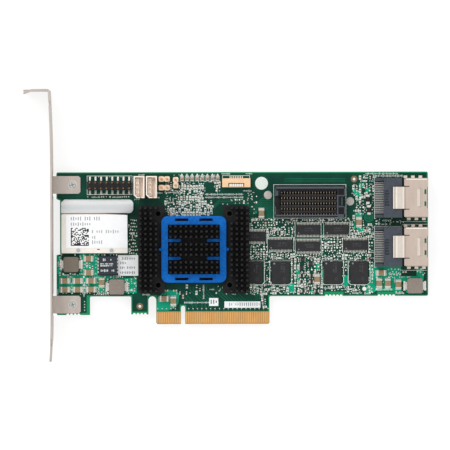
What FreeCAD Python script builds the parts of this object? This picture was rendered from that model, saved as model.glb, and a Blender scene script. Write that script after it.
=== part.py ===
import FreeCAD, Part
import math
import os

V = FreeCAD.Vector

# Frame: X runs along the card, Y from the edge connector to the top edge, Z out of the component side.
# The origin is the middle of the key notch, on the lower edge of the contacts, half-way through the board.

# Circuit board
board_thickness = 1.57
card_height = 68.9
body_bottom = 12.6
body_beyond_connector = 71.95
board_chamfer = 0.5
side_recess_depth = 2.15
side_recess_below_top = 12.1
side_recess_length = 25.4
side_recess_ramp = 0.9

# Lower outline: foot under the bracket, wide notch, leg and round slot
foot_width = 15.1
foot_bottom = 4.2
wide_notch_width = 18.7
notch_radius = 0.7
leg_width = 7.8
leg_bottom = 4.4
round_slot_width = 3.55
breakaway_depth = 0.75
breakaway_pitch = 1.65
foot_bites = 4
leg_bites = 4
body_bites = 5
body_bite_places = [29.2, 53.0]

# Edge connector
contact_pitch = 1.0
contact_width = 0.7
contact_top = 5.4
contact_bottom = 0.55
contact_plating = 0.04
contacts_before_key = 11
contacts_after_key = 38
key_gap_pitches = 3
key_width = 1.9
key_height = 8.3
edge_margin = 0.65
edge_bevel_height = 0.5
edge_bevel_depth = 0.3
edge_corner = 0.6
arc_gap = 0.004
connector_left = -(key_gap_pitches / 2 + contacts_before_key - 1) * contact_pitch - edge_margin
connector_right = (key_gap_pitches / 2 + contacts_after_key - 1) * contact_pitch + edge_margin
board_left = connector_left - round_slot_width - leg_width - wide_notch_width - foot_width
board_right = connector_right + body_beyond_connector

# Tooling holes
tooling_hole = 1.4
top_hole_from_right = 33.45
top_hole_below_top = 3.3
leg_hole_above_leg = 3.7

# Slot bracket, one folded sheet
sheet = 0.8
bracket_width = 18.42
bracket_below_board = 2.5
bracket_to_board = 1.5
bracket_top = 106.4
bracket_tip = -16.7
bracket_lean = 1.1
lean_start = 68.5
tip_curl = 0.7
curl_start = 2.0
tongue_top = -6.2
tongue_width = 10.2
tongue_taper = 3.4
top_tab_length = 12.3
top_tab_fold = 0.9
screw_notch_width = 4.4
screw_notch_length = 5.2
prong_drop = 1.5
prong_length = 4.4
prong_shortening = 0.5
edge_notch_height = 2.1
edge_notch_depth = 3.0
edge_notch_below_top = 5.6
foot_tab_length = 13.2
foot_tab_width = 8.0
foot_tab_chamfer = 0.8
foot_tab_fold = 0.6
relief_width = 0.9
relief_height = 1.2
upper_tab_below_top = 5.7
lower_tab_above_foot = 4.75
vent_flats = 3.4
vent_pitch = 4.6
vent_rows = 2
vent_columns = 5
vent_middle_y = 36.0
upper_tab_y = card_height - upper_tab_below_top
lower_tab_y = foot_bottom + lower_tab_above_foot

# Bracket screws, put in from the solder side
screw_diameter = 2.9
screw_head = 5.4
screw_head_height = 1.7
screw_end = 1.1
screw_from_tab_end = 3.6
screw_clearance = 0.15

# Controller, pad, heat sink and clip
cooler_x = 5.0
cooler_y = 33.9
chip_side = 27.0
chip_stand_off = 0.6
chip_base = 1.2
chip_cap_inset = 1.5
chip_cap = 1.0
chip_ball_inset = 2.0
pad_inset = 2.5
pad_thickness = 0.2
sink_base = 2.2
sink_span = 50.4
sink_chamfer = 1.0
sink_edge = 0.5
pin_pitch = 2.335
pin_foot = 1.25
pin_tip = 0.9
pin_height = 7.4
middle_columns = 10
middle_groups = 3
middle_rows = 3
group_pitch = 8.1
sink_hole = 2.2
sink_hole_clear = 1.65
sink_hole_spacing = 32.3
sink_hole_to_end = 3.7
sink_hole_to_recess = 2.95
clip_chip_clearance = 0.45
clip_pin_clearance_x = 0.57
clip_pin_clearance_y = 0.14
clip_side_rail = 3.0
clip_thickness = 2.4
clip_corner = 2.9
clip_leg = 1.1
clip_leg_span = 6.0
clip_leg_spacing = 11.0
clip_leg_sink_clearance = 0.65
clip_hook = 0.9
clip_hook_height = 0.4
clip_slot_width = 1.15
clip_finger_length = 5.9
clip_finger_width = 1.5
clip_finger_chamfer = 0.4
clip_finger_height = 1.6
clip_root = 0.5
clip_nub = 1.2
clip_nub_width = 2.2
clip_nub_tip = 0.9
wing_pin_clearance = 0.3
clip_length = chip_side + 2 * (clip_chip_clearance + clip_leg)
clip_opening_width = (middle_columns - 1) * pin_pitch + pin_foot + 2 * clip_pin_clearance_x
clip_opening_length = ((middle_groups - 1) * group_pitch + (middle_rows - 1) * pin_pitch + pin_foot
                       + 2 * clip_pin_clearance_y)
clip_width = clip_opening_width + 2 * clip_side_rail
sink_length = sink_hole_spacing + 2 * sink_hole_to_end
sink_recess_width = sink_hole_spacing - 2 * sink_hole_to_recess
sink_middle_length = clip_length - 2 * (clip_leg + clip_leg_sink_clearance)

# Pin header with surface leads
header_from_left = 24.1
header_below_top = 6.05
header_columns = 8
header_pitch = 2.54
header_height = 2.5
header_depth = 4.3
header_cell_cut = 0.45
header_pin = 0.64
header_pin_height = 8.6
header_lead_reach = 3.9
header_lead_height = 0.5

# Four-way wire sockets: middle from the left edge of the board and below its top edge
wire_socket_places = [(37.55, 6.8), (43.15, 6.8)]
wire_socket_width = 4.95
wire_socket_length = 10.0
wire_socket_height = 6.0
wire_socket_wall = 0.6
wire_socket_floor = 1.4
wire_socket_chamfer = 1.4
wire_socket_slot = 0.7
wire_socket_slot_offset = 0.75
wire_pin_pitch = 2.0
wire_pin_count = 4
wire_pin = 0.5
wire_pin_height = 4.6
wire_pin_offset = -0.75
tail_below_board = 1.1
tail_clearance = 0.1

# Two-way jumper headers: middle from the left and top edges, and the direction of the pair
jumper_places = [(48.9, 3.15, 0), (48.9, 7.05, 0), (54.1, 4.8, 90)]
jumper_height = 2.5
jumper_depth = 2.5
jumper_cell_cut = 0.4

# Eight-way cable socket
cable_socket_from_left = 81.55
cable_socket_below_top = 4.9
cable_socket_width = 12.8
cable_socket_depth = 4.05
cable_socket_height = 3.4
cable_slot_width = 7.1
cable_slot_depth = 1.6
cable_slot_offset = -0.95
cable_contacts = 8
cable_contact_pitch = 0.8
cable_contact_width = 0.35
cable_contact_height = 2.4
cable_blade_depth = 0.96
cable_tail_reach = 1.0
cable_tail_height = 0.3

# Module socket
module_socket_from_right = 53.35
module_socket_below_top = 13.7
module_socket_width = 31.8
module_socket_depth = 14.2
module_socket_height = 5.6
module_socket_rim = 0.9
module_socket_floor = 1.2
module_field_drop = 0.8
module_field_shift_x = -0.9
module_field_shift_y = -0.75
module_columns = 20
module_rows = 5
module_column_pitch = 1.27
module_row_pitch = 2.45
module_row_end = 0.2
module_wall = 1.2
module_contact_thickness = 0.3
module_contact_height = 3.2
module_left_key = 6.2
module_left_key_depth = 2.6
module_left_key_drop = 3.0
module_right_key = 4.3
module_right_key_depth = 1.5
module_end_pocket = 2.4
module_end_pocket_length = 3.2
module_end_pocket_spacing = 8.6

# Multi-lane ports
port_middle_from_right = 10.8
upper_port_below_top = 11.9
port_spacing = 22.1
port_width = 17.9
port_height = 8.2
port_body_length = 9.0
port_comb_length = 3.9
port_comb_width = 15.2
port_comb_cheek_height = 6.2
port_shelf_length = 3.4
port_shelf_low = 1.2
port_shelf_high = 3.6
port_nose_length = 3.2
nose_clearance = 0.2
port_gap = 0.8
port_slot_width = 14.4
port_slot_height = 1.4
port_slot_depth = 2.6
port_contact_count = 18
port_contact_pitch = 0.8
port_contact_width = 0.34
port_contact_thickness = 0.2
port_contact_level = 4.6
cage_sheet = 0.35
cage_length = 10.2
cage_height = 8.9
cage_corner = 0.9
cage_lip_cut = 0.5
cage_lip_length = 9.6
cage_tongue_width = 9.9
cage_tongue_reach = 5.2
cage_tongue_slot = 1.7
cage_tongue_slot_width = 0.4
cage_tongue_rise = 0.35
cage_tongue_splay = 0.3
cage_tongue_root = 0.5
cage_window_width = 0.9
cage_window_length = 2.15
cage_window_spacing = 5.4
cage_window_from_front = 1.3
cage_rib_width = 1.5
cage_rib_length = 8.0
cage_rib_height = 0.35
cage_rib_root = 0.05
cage_rib_from_front = 3.6
cage_foot_width = 1.7
cage_foot_reach = 1.2
cage_foot_pitch = 3.4
cage_foot_stagger = 1.5
cage_feet = 3
cage_tail_width = 1.2
cage_tail_spacing = 6.6

# Memory and buffer chips
memory_places = [(31.95, 23.25), (44.3, 23.25), (67.85, 23.25), (79.85, 23.25)]
memory_width = 8.0
memory_length = 10.0
memory_height = 1.1
buffer_places = [(32.0, 39.6), (44.25, 35.95), (56.75, 42.6), (56.75, 35.15), (69.7, 42.65), (78.25, 35.65)]
buffer_length = 10.8
buffer_width = 4.4
buffer_height = 1.0
buffer_lift = 0.1
buffer_lead_span = 10.1
buffer_lead_reach = 0.85
buffer_lead_height = 0.55
buffer_lead_thickness = 0.15

# Power parts: places from the left edge of the board, and from its right edge, which are negative
left_inductors = [(6.65, 27.1), (27.3, 16.95)]
right_inductors = [(-6.05, 17.15)]
inductor_side = 6.9
inductor_height = 4.0
inductor_chamfer = 0.6
inductor_terminal_reach = 1.0
inductor_terminal_width = 3.6
inductor_terminal_height = 1.6
inductor_terminal_sheet = 0.3
power_module_from_left = 23.3
power_module_y = 26.65
power_module_side = 8.2
power_module_height = 2.6
power_module_pad_height = 0.3
power_module_pad_reach = 0.35
power_module_pad_width = 0.9
power_module_pad_pitch = 1.49
power_module_pads = 5

# Large capacitors: middle x and y, and the direction of the body. The left ones are placed from the
# left edge of the board and the right ones from its right edge, as the power parts are.
left_large_capacitors = [
    (14.5, 29.75, 0), (14.6, 23.45, 0), (3.8, 19.7, 0), (9.6, 19.7, 0), (15.65, 19.7, 0),
    (3.8, 15.75, 0), (9.6, 15.75, 0), (15.65, 15.75, 0), (20.45, 18.95, 90)]
middle_large_capacitors = [
    (-8.6, 11.55, 0), (-4.4, 10.5, 90), (79.8, 46.0, 90), (60.75, 20.2, 90), (35.6, 50.2, 90)]
right_large_capacitors = [(-21.3, 23.0, 0), (-22.2, 18.35, 90), (-18.3, 18.35, 90), (-13.5, 17.8, 90)]
capacitor_length = 3.5
capacitor_width = 2.5
capacitor_height = 2.0
capacitor_end = 0.55
capacitor_end_rise = 0.06
small_capacitors = [
    (-16.9, 48.9, 90), (-7.6, 15.2, 0), (-3.6, 15.2, 0), (0.0, 12.45, 90), (100.4, 23.4, 0),
    (37.5, 45.2, 90), (83.9, 29.2, 90), (51.0, 46.8, 0)]
small_capacitor_length = 1.6
small_capacitor_width = 0.8
small_capacitor_height = 0.8

# Small packages
small_chips = [(54.3, 29.1), (57.95, 27.4), (53.8, 25.3)]
small_chip_width = 1.7
small_chip_length = 2.0
small_chip_height = 0.9
transistor_places = [(83.9, 56.4), (84.4, 51.6)]
transistor_width = 1.4
transistor_length = 2.9
transistor_height = 1.0
resistor_places = [(53.9, 21.85), (53.75, 19.05), (58.3, 22.0), (58.3, 19.05), (57.7, 15.95), (54.6, 14.9),
                   (60.6, 14.85)]
resistor_length = 2.0
resistor_width = 1.25
resistor_height = 0.55

# Status lights
led_count = 8
led_pitch = 2.315
led_first_from_left = 56.9
led_below_top = 2.9
led_length = 1.9
led_width = 1.2
led_height = 0.7

# Light cover near the bracket
cover_from_left = 2.3
cover_width = 30.0
cover_bottom = 32.2
cover_depth = 17.8
cover_height = 3.0
cover_right_step = 0.8
cover_step_height = 7.4
cover_bar_length = 32.6
cover_bar_width = 6.35
cover_bar_height = 5.4
cover_bar_round = 2.2
cover_bar_chamfer = 1.4
cover_bar_gap = 0.25
cover_left = board_left + cover_from_left

# Labels
label_thickness = 0.1
product_label_inset = 2.1
product_label_width = 27.8
product_label_length = 14.8
product_label_from_cover = 2.5
part_label_gap = 0.15
part_label_width = 9.8
part_label_length = 9.4
revision_label_x = 13.9
revision_label_y = 10.0
revision_label_width = 4.1
revision_label_length = 3.6
strip_label_x = 26.9
strip_label_y = 8.8
strip_label_width = 16.3
strip_label_length = 2.9

# Solder side
back_capacitor_columns = 4
back_capacitor_rows = 3
back_capacitor_pitch_x = 4.4
back_capacitor_pitch_y = 5.2

# How far a cut starts and ends outside what it cuts
past = 1.0

top_z = board_thickness / 2
bottom_z = -top_z
nodes = {}


def box(x0, x1, y0, y1, z0, z1):
    return Part.makeBox(x1 - x0, y1 - y0, z1 - z0, V(x0, y0, z0))


def block(x, y, width, length, z, height):
    """A box about a middle point, standing on z."""
    return box(x - width / 2, x + width / 2, y - length / 2, y + length / 2, z, z + height)


def post(x, y, diameter, z0, z1):
    return Part.makeCylinder(diameter / 2, z1 - z0, V(x, y, z0))


def rounded_wire(corners, z=0.0):
    """A closed outline of (x, y, radius) corners, with a tangent arc where the radius isn't 0."""
    points = [V(x, y, z) for x, y, radius in corners]
    stops = []
    for i, corner in enumerate(points):
        radius = corners[i][2]
        if radius == 0:
            stops.append((corner, None, corner))
            continue
        back = (points[i - 1] - corner).normalize()
        ahead = (points[(i + 1) % len(points)] - corner).normalize()
        half = back.getAngle(ahead) / 2
        reach = radius / math.tan(half)
        inward = (back + ahead).normalize()
        middle = corner + inward * (radius / math.sin(half) - radius)
        stops.append((corner + back * reach, middle, corner + ahead * reach))
    edges = []
    for i, (start, middle, end) in enumerate(stops):
        if middle is not None:
            edges.append(Part.Arc(start, middle, end).toShape())
        following = stops[(i + 1) % len(stops)][0]
        if end.distanceToPoint(following) > 1e-6:
            edges.append(Part.LineSegment(end, following).toShape())
    return Part.Wire(edges)


def prism(corners, z0, z1):
    return Part.Face(rounded_wire(corners, z0)).extrude(V(0, 0, z1 - z0))


def rounded_block(x, y, width, length, radius, z0, z1):
    left, right = x - width / 2, x + width / 2
    low, high = y - length / 2, y + length / 2
    return prism([(left, low, radius), (right, low, radius), (right, high, radius), (left, high, radius)],
                 z0, z1)


def chamfered_block(x, y, width, length, cut, z0, z1):
    left, right = x - width / 2, x + width / 2
    low, high = y - length / 2, y + length / 2
    return prism([(left + cut, low, 0), (right - cut, low, 0), (right, low + cut, 0), (right, high - cut, 0),
                  (right - cut, high, 0), (left + cut, high, 0), (left, high - cut, 0), (left, low + cut, 0)],
                 z0, z1)


def along_x(corners, y0, y1):
    """A prism of an outline in X and Z, drawn as (x, z, radius), from y0 to y1."""
    shape = prism(corners, 0, y1 - y0)
    shape.rotate(V(0, 0, 0), V(1, 0, 0), 90)
    shape.translate(V(0, y1, 0))
    return shape


def turned(shape, x, y, angle):
    """A copy of a shape that was made about the origin, turned and set at x, y."""
    copy = shape.copy()
    copy.rotate(V(0, 0, 0), V(0, 0, 1), angle)
    copy.translate(V(x, y, 0))
    return copy


def row(middle, pitch, count):
    """Places of a row of like pieces about its middle."""
    return [middle + (i - (count - 1) / 2) * pitch for i in range(count)]


def keep(name, shapes):
    shapes = shapes if isinstance(shapes, list) else [shapes]
    nodes[name] = shapes[0] if len(shapes) == 1 else Part.makeCompound(shapes)


def from_left(x):
    return board_left + x


def below_top(y):
    return card_height - y


def contact_places():
    step = key_gap_pitches * contact_pitch / 2
    before = [-step - i * contact_pitch for i in range(contacts_before_key)]
    after = [step + i * contact_pitch for i in range(contacts_after_key)]
    return before, after


def tail_places():
    """Every square pin that goes through the board: x, y and side."""
    places = []
    for x, y in wire_socket_places:
        for pin_y in row(below_top(y), wire_pin_pitch, wire_pin_count):
            places.append((from_left(x) + wire_pin_offset, pin_y, wire_pin))
    for x, y, angle in jumper_places:
        along = V(math.cos(math.radians(angle)), math.sin(math.radians(angle)), 0) * (header_pitch / 2)
        for s in (-1, 1):
            places.append((from_left(x) + s * along.x, below_top(y) + s * along.y, header_pin))
    return places


def port_places():
    upper_y = below_top(upper_port_below_top)
    return board_right - port_middle_from_right, upper_y, upper_y - port_spacing


def cage_tails(port_y, z0, z1, clearance):
    """The flat tails of a cage, or with a clearance the slots for them: two on each side wall."""
    cage_middle = port_places()[0] + port_gap / 2 + cage_length / 2
    side = (port_width - cage_sheet) / 2
    width, thick = cage_tail_width + 2 * clearance, cage_sheet + 2 * clearance
    return [block(x, port_y + s * side, width, thick, z0, z1 - z0)
            for x in row(cage_middle, cage_tail_spacing, 2) for s in (-1, 1)]


def screw_places():
    screw_x = board_left - bracket_to_board - sheet + foot_tab_length - screw_from_tab_end
    return [(screw_x, upper_tab_y), (screw_x, lower_tab_y)]


def board():
    foot_right = board_left + foot_width
    leg_left = foot_right + wide_notch_width
    leg_right = leg_left + leg_width
    slot_round = (round_slot_width - arc_gap) / 2
    key_round = (key_width - arc_gap) / 2
    recess_x = board_left + side_recess_depth
    side_recess_top = card_height - side_recess_below_top
    side_recess_bottom = side_recess_top - side_recess_length
    outline = [
        (board_left + board_chamfer, card_height, 0),
        (board_left, card_height - board_chamfer, 0),
        (board_left, side_recess_top, 0),
        (recess_x, side_recess_top - side_recess_ramp, 0),
        (recess_x, side_recess_bottom + side_recess_ramp / 2, 0),
        (board_left, side_recess_bottom, 0),
        (board_left, foot_bottom + board_chamfer, 0),
        (board_left + board_chamfer, foot_bottom, 0),
        (foot_right, foot_bottom, 0),
        (foot_right, body_bottom, notch_radius),
        (leg_left, body_bottom, notch_radius),
        (leg_left, leg_bottom, 0),
        (leg_right, leg_bottom, 0),
        (leg_right, body_bottom, slot_round),
        (connector_left, body_bottom, slot_round),
        (connector_left, edge_corner, 0),
        (connector_left + edge_corner, 0, 0),
        (-key_width / 2, 0, 0),
        (-key_width / 2, key_height, key_round),
        (key_width / 2, key_height, key_round),
        (key_width / 2, 0, 0),
        (connector_right - edge_corner, 0, 0),
        (connector_right, edge_corner, 0),
        (connector_right, body_bottom, notch_radius),
        (board_right - board_chamfer, body_bottom, 0),
        (board_right, body_bottom + board_chamfer, 0),
        (board_right, card_height - board_chamfer, 0),
        (board_right - board_chamfer, card_height, 0)]
    shape = prism(outline, bottom_z, top_z)
    cuts = []
    bevel_left, bevel_right = connector_left - past, connector_right + past
    for side in (-1, 1):
        face = side * top_z
        wedge = Part.Face(Part.makePolygon([
            V(bevel_left, 0, face), V(bevel_left, edge_bevel_height, face),
            V(bevel_left, 0, face - side * edge_bevel_depth), V(bevel_left, 0, face)]))
        cuts.append(wedge.extrude(V(bevel_right - bevel_left, 0, 0)))
    bites = [(board_left + foot_width / 2, foot_bottom, foot_bites),
             (leg_left + leg_width / 2, leg_bottom, leg_bites)]
    bites += [(connector_right + x, body_bottom, body_bites) for x in body_bite_places]
    for x, y, count in bites:
        cuts += [bite(bite_x, y) for bite_x in row(x, breakaway_pitch, count)]
    for x, y in screw_places():
        cuts.append(post(x, y, screw_diameter + 2 * screw_clearance, bottom_z - past, top_z + past))
    for x, y in tooling_places():
        cuts.append(post(x, y, tooling_hole, bottom_z - past, top_z + past))
    for x, y, side in tail_places():
        hole = side + 2 * tail_clearance
        cuts.append(block(x, y, hole, hole, bottom_z - past, board_thickness + 2 * past))
    for port_y in port_places()[1:]:
        cuts += cage_tails(port_y, bottom_z - past, top_z + past, tail_clearance)
    keep("circuit_board", shape.cut(cuts))


def bite(x, y):
    """Half of one drilled hole of a broken-off tab, with six flats."""
    points = [V(x + breakaway_depth * math.cos(math.radians(60 * k)),
                y + breakaway_depth * math.sin(math.radians(60 * k)), bottom_z - past) for k in range(7)]
    return Part.Face(Part.makePolygon(points)).extrude(V(0, 0, board_thickness + 2 * past))


def tooling_places():
    leg_middle = connector_left - round_slot_width - leg_width / 2
    return [(board_right - top_hole_from_right, below_top(top_hole_below_top)),
            (leg_middle, leg_bottom + leg_hole_above_leg)]


def edge_contacts():
    before, after = contact_places()
    contacts = []
    for x in before + after:
        for z in (top_z, bottom_z - contact_plating):
            contacts.append(box(x - contact_width / 2, x + contact_width / 2, contact_bottom, contact_top,
                                z, z + contact_plating))
    keep("edge_contacts", contacts)


def bracket():
    inner_x = board_left - bracket_to_board
    outer_x = inner_x - sheet
    low_z = bottom_z - bracket_below_board
    high_z = low_z + bracket_width

    def lean(y):
        """How far the plate stands outwards at a height y, an arc above and one below."""
        if y > lean_start:
            return bracket_lean * ((y - lean_start) / (bracket_top - lean_start)) ** 2
        if y < curl_start:
            return tip_curl * ((curl_start - y) / (curl_start - bracket_tip)) ** 2
        return 0.0

    def arc_side(x, y_from, y_to):
        middle = (y_from + y_to) / 2
        return Part.Arc(V(x - lean(y_from), y_from, low_z), V(x - lean(middle), middle, low_z),
                        V(x - lean(y_to), y_to, low_z)).toShape()

    plate_top = bracket_top - sheet
    edges = [
        arc_side(inner_x, bracket_tip, curl_start),
        Part.LineSegment(V(inner_x, curl_start, low_z), V(inner_x, lean_start, low_z)).toShape(),
        arc_side(inner_x, lean_start, plate_top),
        Part.LineSegment(V(inner_x - lean(plate_top), plate_top, low_z),
                         V(outer_x - lean(plate_top), plate_top, low_z)).toShape(),
        arc_side(outer_x, plate_top, lean_start),
        Part.LineSegment(V(outer_x, lean_start, low_z), V(outer_x, curl_start, low_z)).toShape(),
        arc_side(outer_x, curl_start, bracket_tip),
        Part.LineSegment(V(outer_x - tip_curl, bracket_tip, low_z),
                         V(inner_x - tip_curl, bracket_tip, low_z)).toShape()]
    plate = Part.Face(Part.Wire(edges)).extrude(V(0, 0, bracket_width))

    fold_x = inner_x - lean(plate_top)
    tab_end = fold_x - top_tab_length
    middle_z = (low_z + high_z) / 2
    notch_low = middle_z - screw_notch_width / 2
    notch_high = middle_z + screw_notch_width / 2
    prong_start = tab_end + prong_length
    flat = prism([
        (fold_x, plate_top - sheet, 0), (fold_x, bracket_top, top_tab_fold),
        (tab_end, bracket_top, 0), (tab_end, plate_top, 0),
        (fold_x - sheet, plate_top, 0), (fold_x - sheet, plate_top - sheet, 0)], low_z, high_z)
    flat = flat.cut(box(tab_end - past, prong_start, plate_top - past, bracket_top + past,
                        notch_low, high_z + past))
    round_end = Part.makeCylinder(screw_notch_width / 2, 4 * sheet,
                                  V(tab_end + screw_notch_length, plate_top - sheet, middle_z), V(0, 1, 0))
    throat = box(tab_end - past, tab_end + screw_notch_length, plate_top - sheet, bracket_top + past,
                 notch_low, notch_high)
    prong_end = tab_end + prong_shortening
    prong = prism([
        (prong_start, bracket_top, 0), (prong_end, bracket_top - prong_drop, 0),
        (prong_end, plate_top - prong_drop, 0), (prong_start, plate_top, 0)], notch_high, high_z)
    body = plate.fuse([flat, prong]).cut([round_end, throat])

    plate_outside = outer_x - bracket_lean - past
    cuts = [box(plate_outside, inner_x + past, bracket_top - edge_notch_below_top - edge_notch_height,
                bracket_top - edge_notch_below_top, high_z - edge_notch_depth, high_z + past)]
    tongue_low = middle_z - tongue_width / 2
    tongue_high = middle_z + tongue_width / 2
    for edge_z, tongue_z in ((low_z, tongue_low), (high_z, tongue_high)):
        outside_z = edge_z + (edge_z - tongue_z)
        corner = Part.Face(Part.makePolygon([
            V(plate_outside, bracket_tip - past, outside_z),
            V(plate_outside, bracket_tip - past, tongue_z),
            V(plate_outside, tongue_top - tongue_taper, tongue_z),
            V(plate_outside, tongue_top, edge_z),
            V(plate_outside, tongue_top, outside_z),
            V(plate_outside, bracket_tip - past, outside_z)]))
        cuts.append(corner.extrude(V(inner_x + past - plate_outside, 0, 0)))
    for y in (upper_tab_y, lower_tab_y):
        half = foot_tab_width / 2 + relief_width
        cuts.append(box(outer_x - past, inner_x + past, y - half, y + half,
                        low_z - past, top_z + sheet + relief_height))
    for i, z in enumerate(row(middle_z + (top_z + sheet) / 2, vent_pitch * math.sqrt(3) / 2, vent_rows)):
        for y in row(vent_middle_y + (i % 2) * vent_pitch / 2, vent_pitch, vent_columns):
            cuts.append(hexagon_bar(y, z, vent_flats, outer_x - past, inner_x + past))
    body = body.cut(cuts)

    tabs = [foot_tab(outer_x, inner_x, y) for y in (upper_tab_y, lower_tab_y)]
    keep("bracket", body.fuse(tabs).removeSplitter())


def hexagon_bar(y, z, flats, x0, x1):
    radius = flats / math.sqrt(3)
    points = [V(x0, y + radius * math.cos(math.radians(60 * k + 30)),
                z + radius * math.sin(math.radians(60 * k + 30))) for k in range(7)]
    return Part.Face(Part.makePolygon(points)).extrude(V(x1 - x0, 0, 0))


def foot_tab(outer_x, inner_x, y):
    """A tab folded off the plate, flat on the board, with the formed hole that the screw bites."""
    end_x = outer_x + foot_tab_length
    low, high = y - foot_tab_width / 2, y + foot_tab_width / 2
    rise = top_z + sheet + relief_height
    cut = foot_tab_chamfer
    flat = prism([(outer_x, low, 0), (end_x - cut, low, 0), (end_x, low + cut, 0), (end_x, high - cut, 0),
                  (end_x - cut, high, 0), (outer_x, high, 0)], top_z, top_z + sheet)
    fold = along_x([(outer_x, top_z, foot_tab_fold), (inner_x + sheet, top_z, 0),
                    (inner_x + sheet, top_z + sheet, 0), (inner_x, top_z + sheet, 0), (inner_x, rise, 0),
                    (outer_x, rise, 0)], low, high)
    flat = flat.cut(box(outer_x - past, inner_x + sheet / 2, low - past, high + past,
                        top_z - past, rise))
    screw_x = end_x - screw_from_tab_end
    return flat.fuse(fold).cut(post(screw_x, y, screw_diameter, top_z - past, rise))


def bracket_screws():
    screws = []
    for x, y in screw_places():
        end = top_z + sheet + screw_end
        shank = post(x, y, screw_diameter, bottom_z, end)
        head = post(x, y, screw_head, bottom_z - screw_head_height, bottom_z)
        screws.append(head.fuse(shank))
    keep("bracket_screws", screws)


def cooler_levels():
    cap_top = top_z + chip_stand_off + chip_base + chip_cap
    sink_bottom = cap_top + pad_thickness
    return cap_top, sink_bottom, sink_bottom + sink_base


def controller():
    cap_top, sink_bottom, sink_top = cooler_levels()
    base_z = top_z + chip_stand_off
    layers = []
    for inset, z, height in [(chip_ball_inset, top_z, chip_stand_off), (0, base_z, chip_base),
                             (chip_cap_inset, base_z + chip_base, chip_cap)]:
        side = chip_side - 2 * inset
        layers.append(block(cooler_x, cooler_y, side, side, z, height))
    keep("controller_chip", layers[0].fuse(layers[1:]))
    pad_side = chip_side - 2 * pad_inset
    keep("thermal_pad", block(cooler_x, cooler_y, pad_side, pad_side, cap_top, pad_thickness))


def heat_sink():
    cap_top, low, high = cooler_levels()
    plate = chamfered_block(cooler_x, cooler_y, sink_span, sink_length, sink_chamfer, low, high)
    recess_length = (sink_length - sink_middle_length) / 2
    recesses = []
    for s in (-1, 1):
        y = cooler_y + s * (sink_length - recess_length + past) / 2
        recesses.append(block(cooler_x, y, sink_recess_width, recess_length + past, low - past,
                              sink_base + 2 * past))
    plate = plate.cut(recesses)
    hole_half = sink_hole_spacing / 2
    holes = [(cooler_x + sx * hole_half, cooler_y + sy * hole_half) for sx in (-1, 1) for sy in (-1, 1)]
    foot, tip = pin_foot / 2, pin_tip / 2
    pin = Part.makeWedge(-foot, 0, -foot, -tip, -tip, foot, pin_height, foot, tip, tip)
    pin.rotate(V(0, 0, 0), V(1, 0, 0), 90)
    pins = []
    clear = sink_hole_clear + pin_foot / math.sqrt(2)
    outer = sink_span / 2 - sink_edge - pin_foot / 2
    inner = clip_width / 2 + clip_nub + wing_pin_clearance + pin_foot / 2
    wing_columns = int((outer - inner) / pin_pitch) + 1
    wing_rows = int((sink_length - pin_foot - 2 * sink_edge) / pin_pitch) + 1
    for s in (-1, 1):
        for column in range(wing_columns):
            x = cooler_x + s * (outer - column * pin_pitch)
            for y in row(cooler_y, pin_pitch, wing_rows):
                if all(math.hypot(x - hx, y - hy) > clear for hx, hy in holes):
                    pins.append((x, y))
    for group_y in row(cooler_y, group_pitch, middle_groups):
        for y in row(group_y, pin_pitch, middle_rows):
            pins += [(x, y) for x in row(cooler_x, pin_pitch, middle_columns)]
    shape = plate.fuse([pin.translated(V(x, y, high)) for x, y in pins])
    keep("heat_sink", shape.cut([post(x, y, sink_hole, low - past, high + past) for x, y in holes]))


def heat_sink_clip():
    low = cooler_levels()[2]
    high = low + clip_thickness
    frame = rounded_block(cooler_x, cooler_y, clip_width, clip_length, clip_corner, low, high)
    frame = frame.cut(block(cooler_x, cooler_y, clip_opening_width, clip_opening_length,
                            low - past, clip_thickness + 2 * past))
    adds, cuts = [], []
    inner_half = clip_opening_width / 2
    finger_top = low + clip_finger_height
    for s in (-1, 1):
        for y in row(cooler_y, group_pitch, middle_groups - 1):
            x_wall = cooler_x + s * inner_half
            x_end = x_wall - s * clip_finger_length
            x_root = x_wall + s * clip_root
            half, cut = clip_finger_width / 2, clip_finger_chamfer
            adds.append(prism([(x_root, y - half, 0), (x_end + s * cut, y - half, 0),
                               (x_end, y - half + cut, 0), (x_end, y + half - cut, 0),
                               (x_end + s * cut, y + half, 0), (x_root, y + half, 0)], low, finger_top))
        nub_x = cooler_x + s * clip_width / 2
        adds.append(prism([(nub_x - s * clip_root, cooler_y - clip_nub_width / 2, 0),
                           (nub_x + s * clip_nub, cooler_y - clip_nub_tip / 2, 0),
                           (nub_x + s * clip_nub, cooler_y + clip_nub_tip / 2, 0),
                           (nub_x - s * clip_root, cooler_y + clip_nub_width / 2, 0)], low, finger_top))
        leg_outer = clip_length / 2
        leg_inner = leg_outer - clip_leg
        hook_top = top_z + chip_stand_off
        for x in row(cooler_x, clip_leg_spacing, 2):
            x0, x1 = x - clip_leg_span / 2, x + clip_leg_span / 2
            ys = sorted((cooler_y + s * leg_inner, cooler_y + s * leg_outer))
            adds.append(box(x0, x1, ys[0], ys[1], hook_top - clip_hook_height, low + clip_root))
            ys = sorted((cooler_y + s * (leg_inner - clip_hook), cooler_y + s * leg_outer))
            adds.append(box(x0, x1, ys[0], ys[1], hook_top - clip_hook_height, hook_top))
            ys = sorted((cooler_y + s * (leg_inner - clip_slot_width), cooler_y + s * leg_inner))
            cuts.append(box(x0, x1, ys[0], ys[1], low - past, high + past))
    keep("heat_sink_clip", frame.cut(cuts).fuse(adds).removeSplitter())


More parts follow.
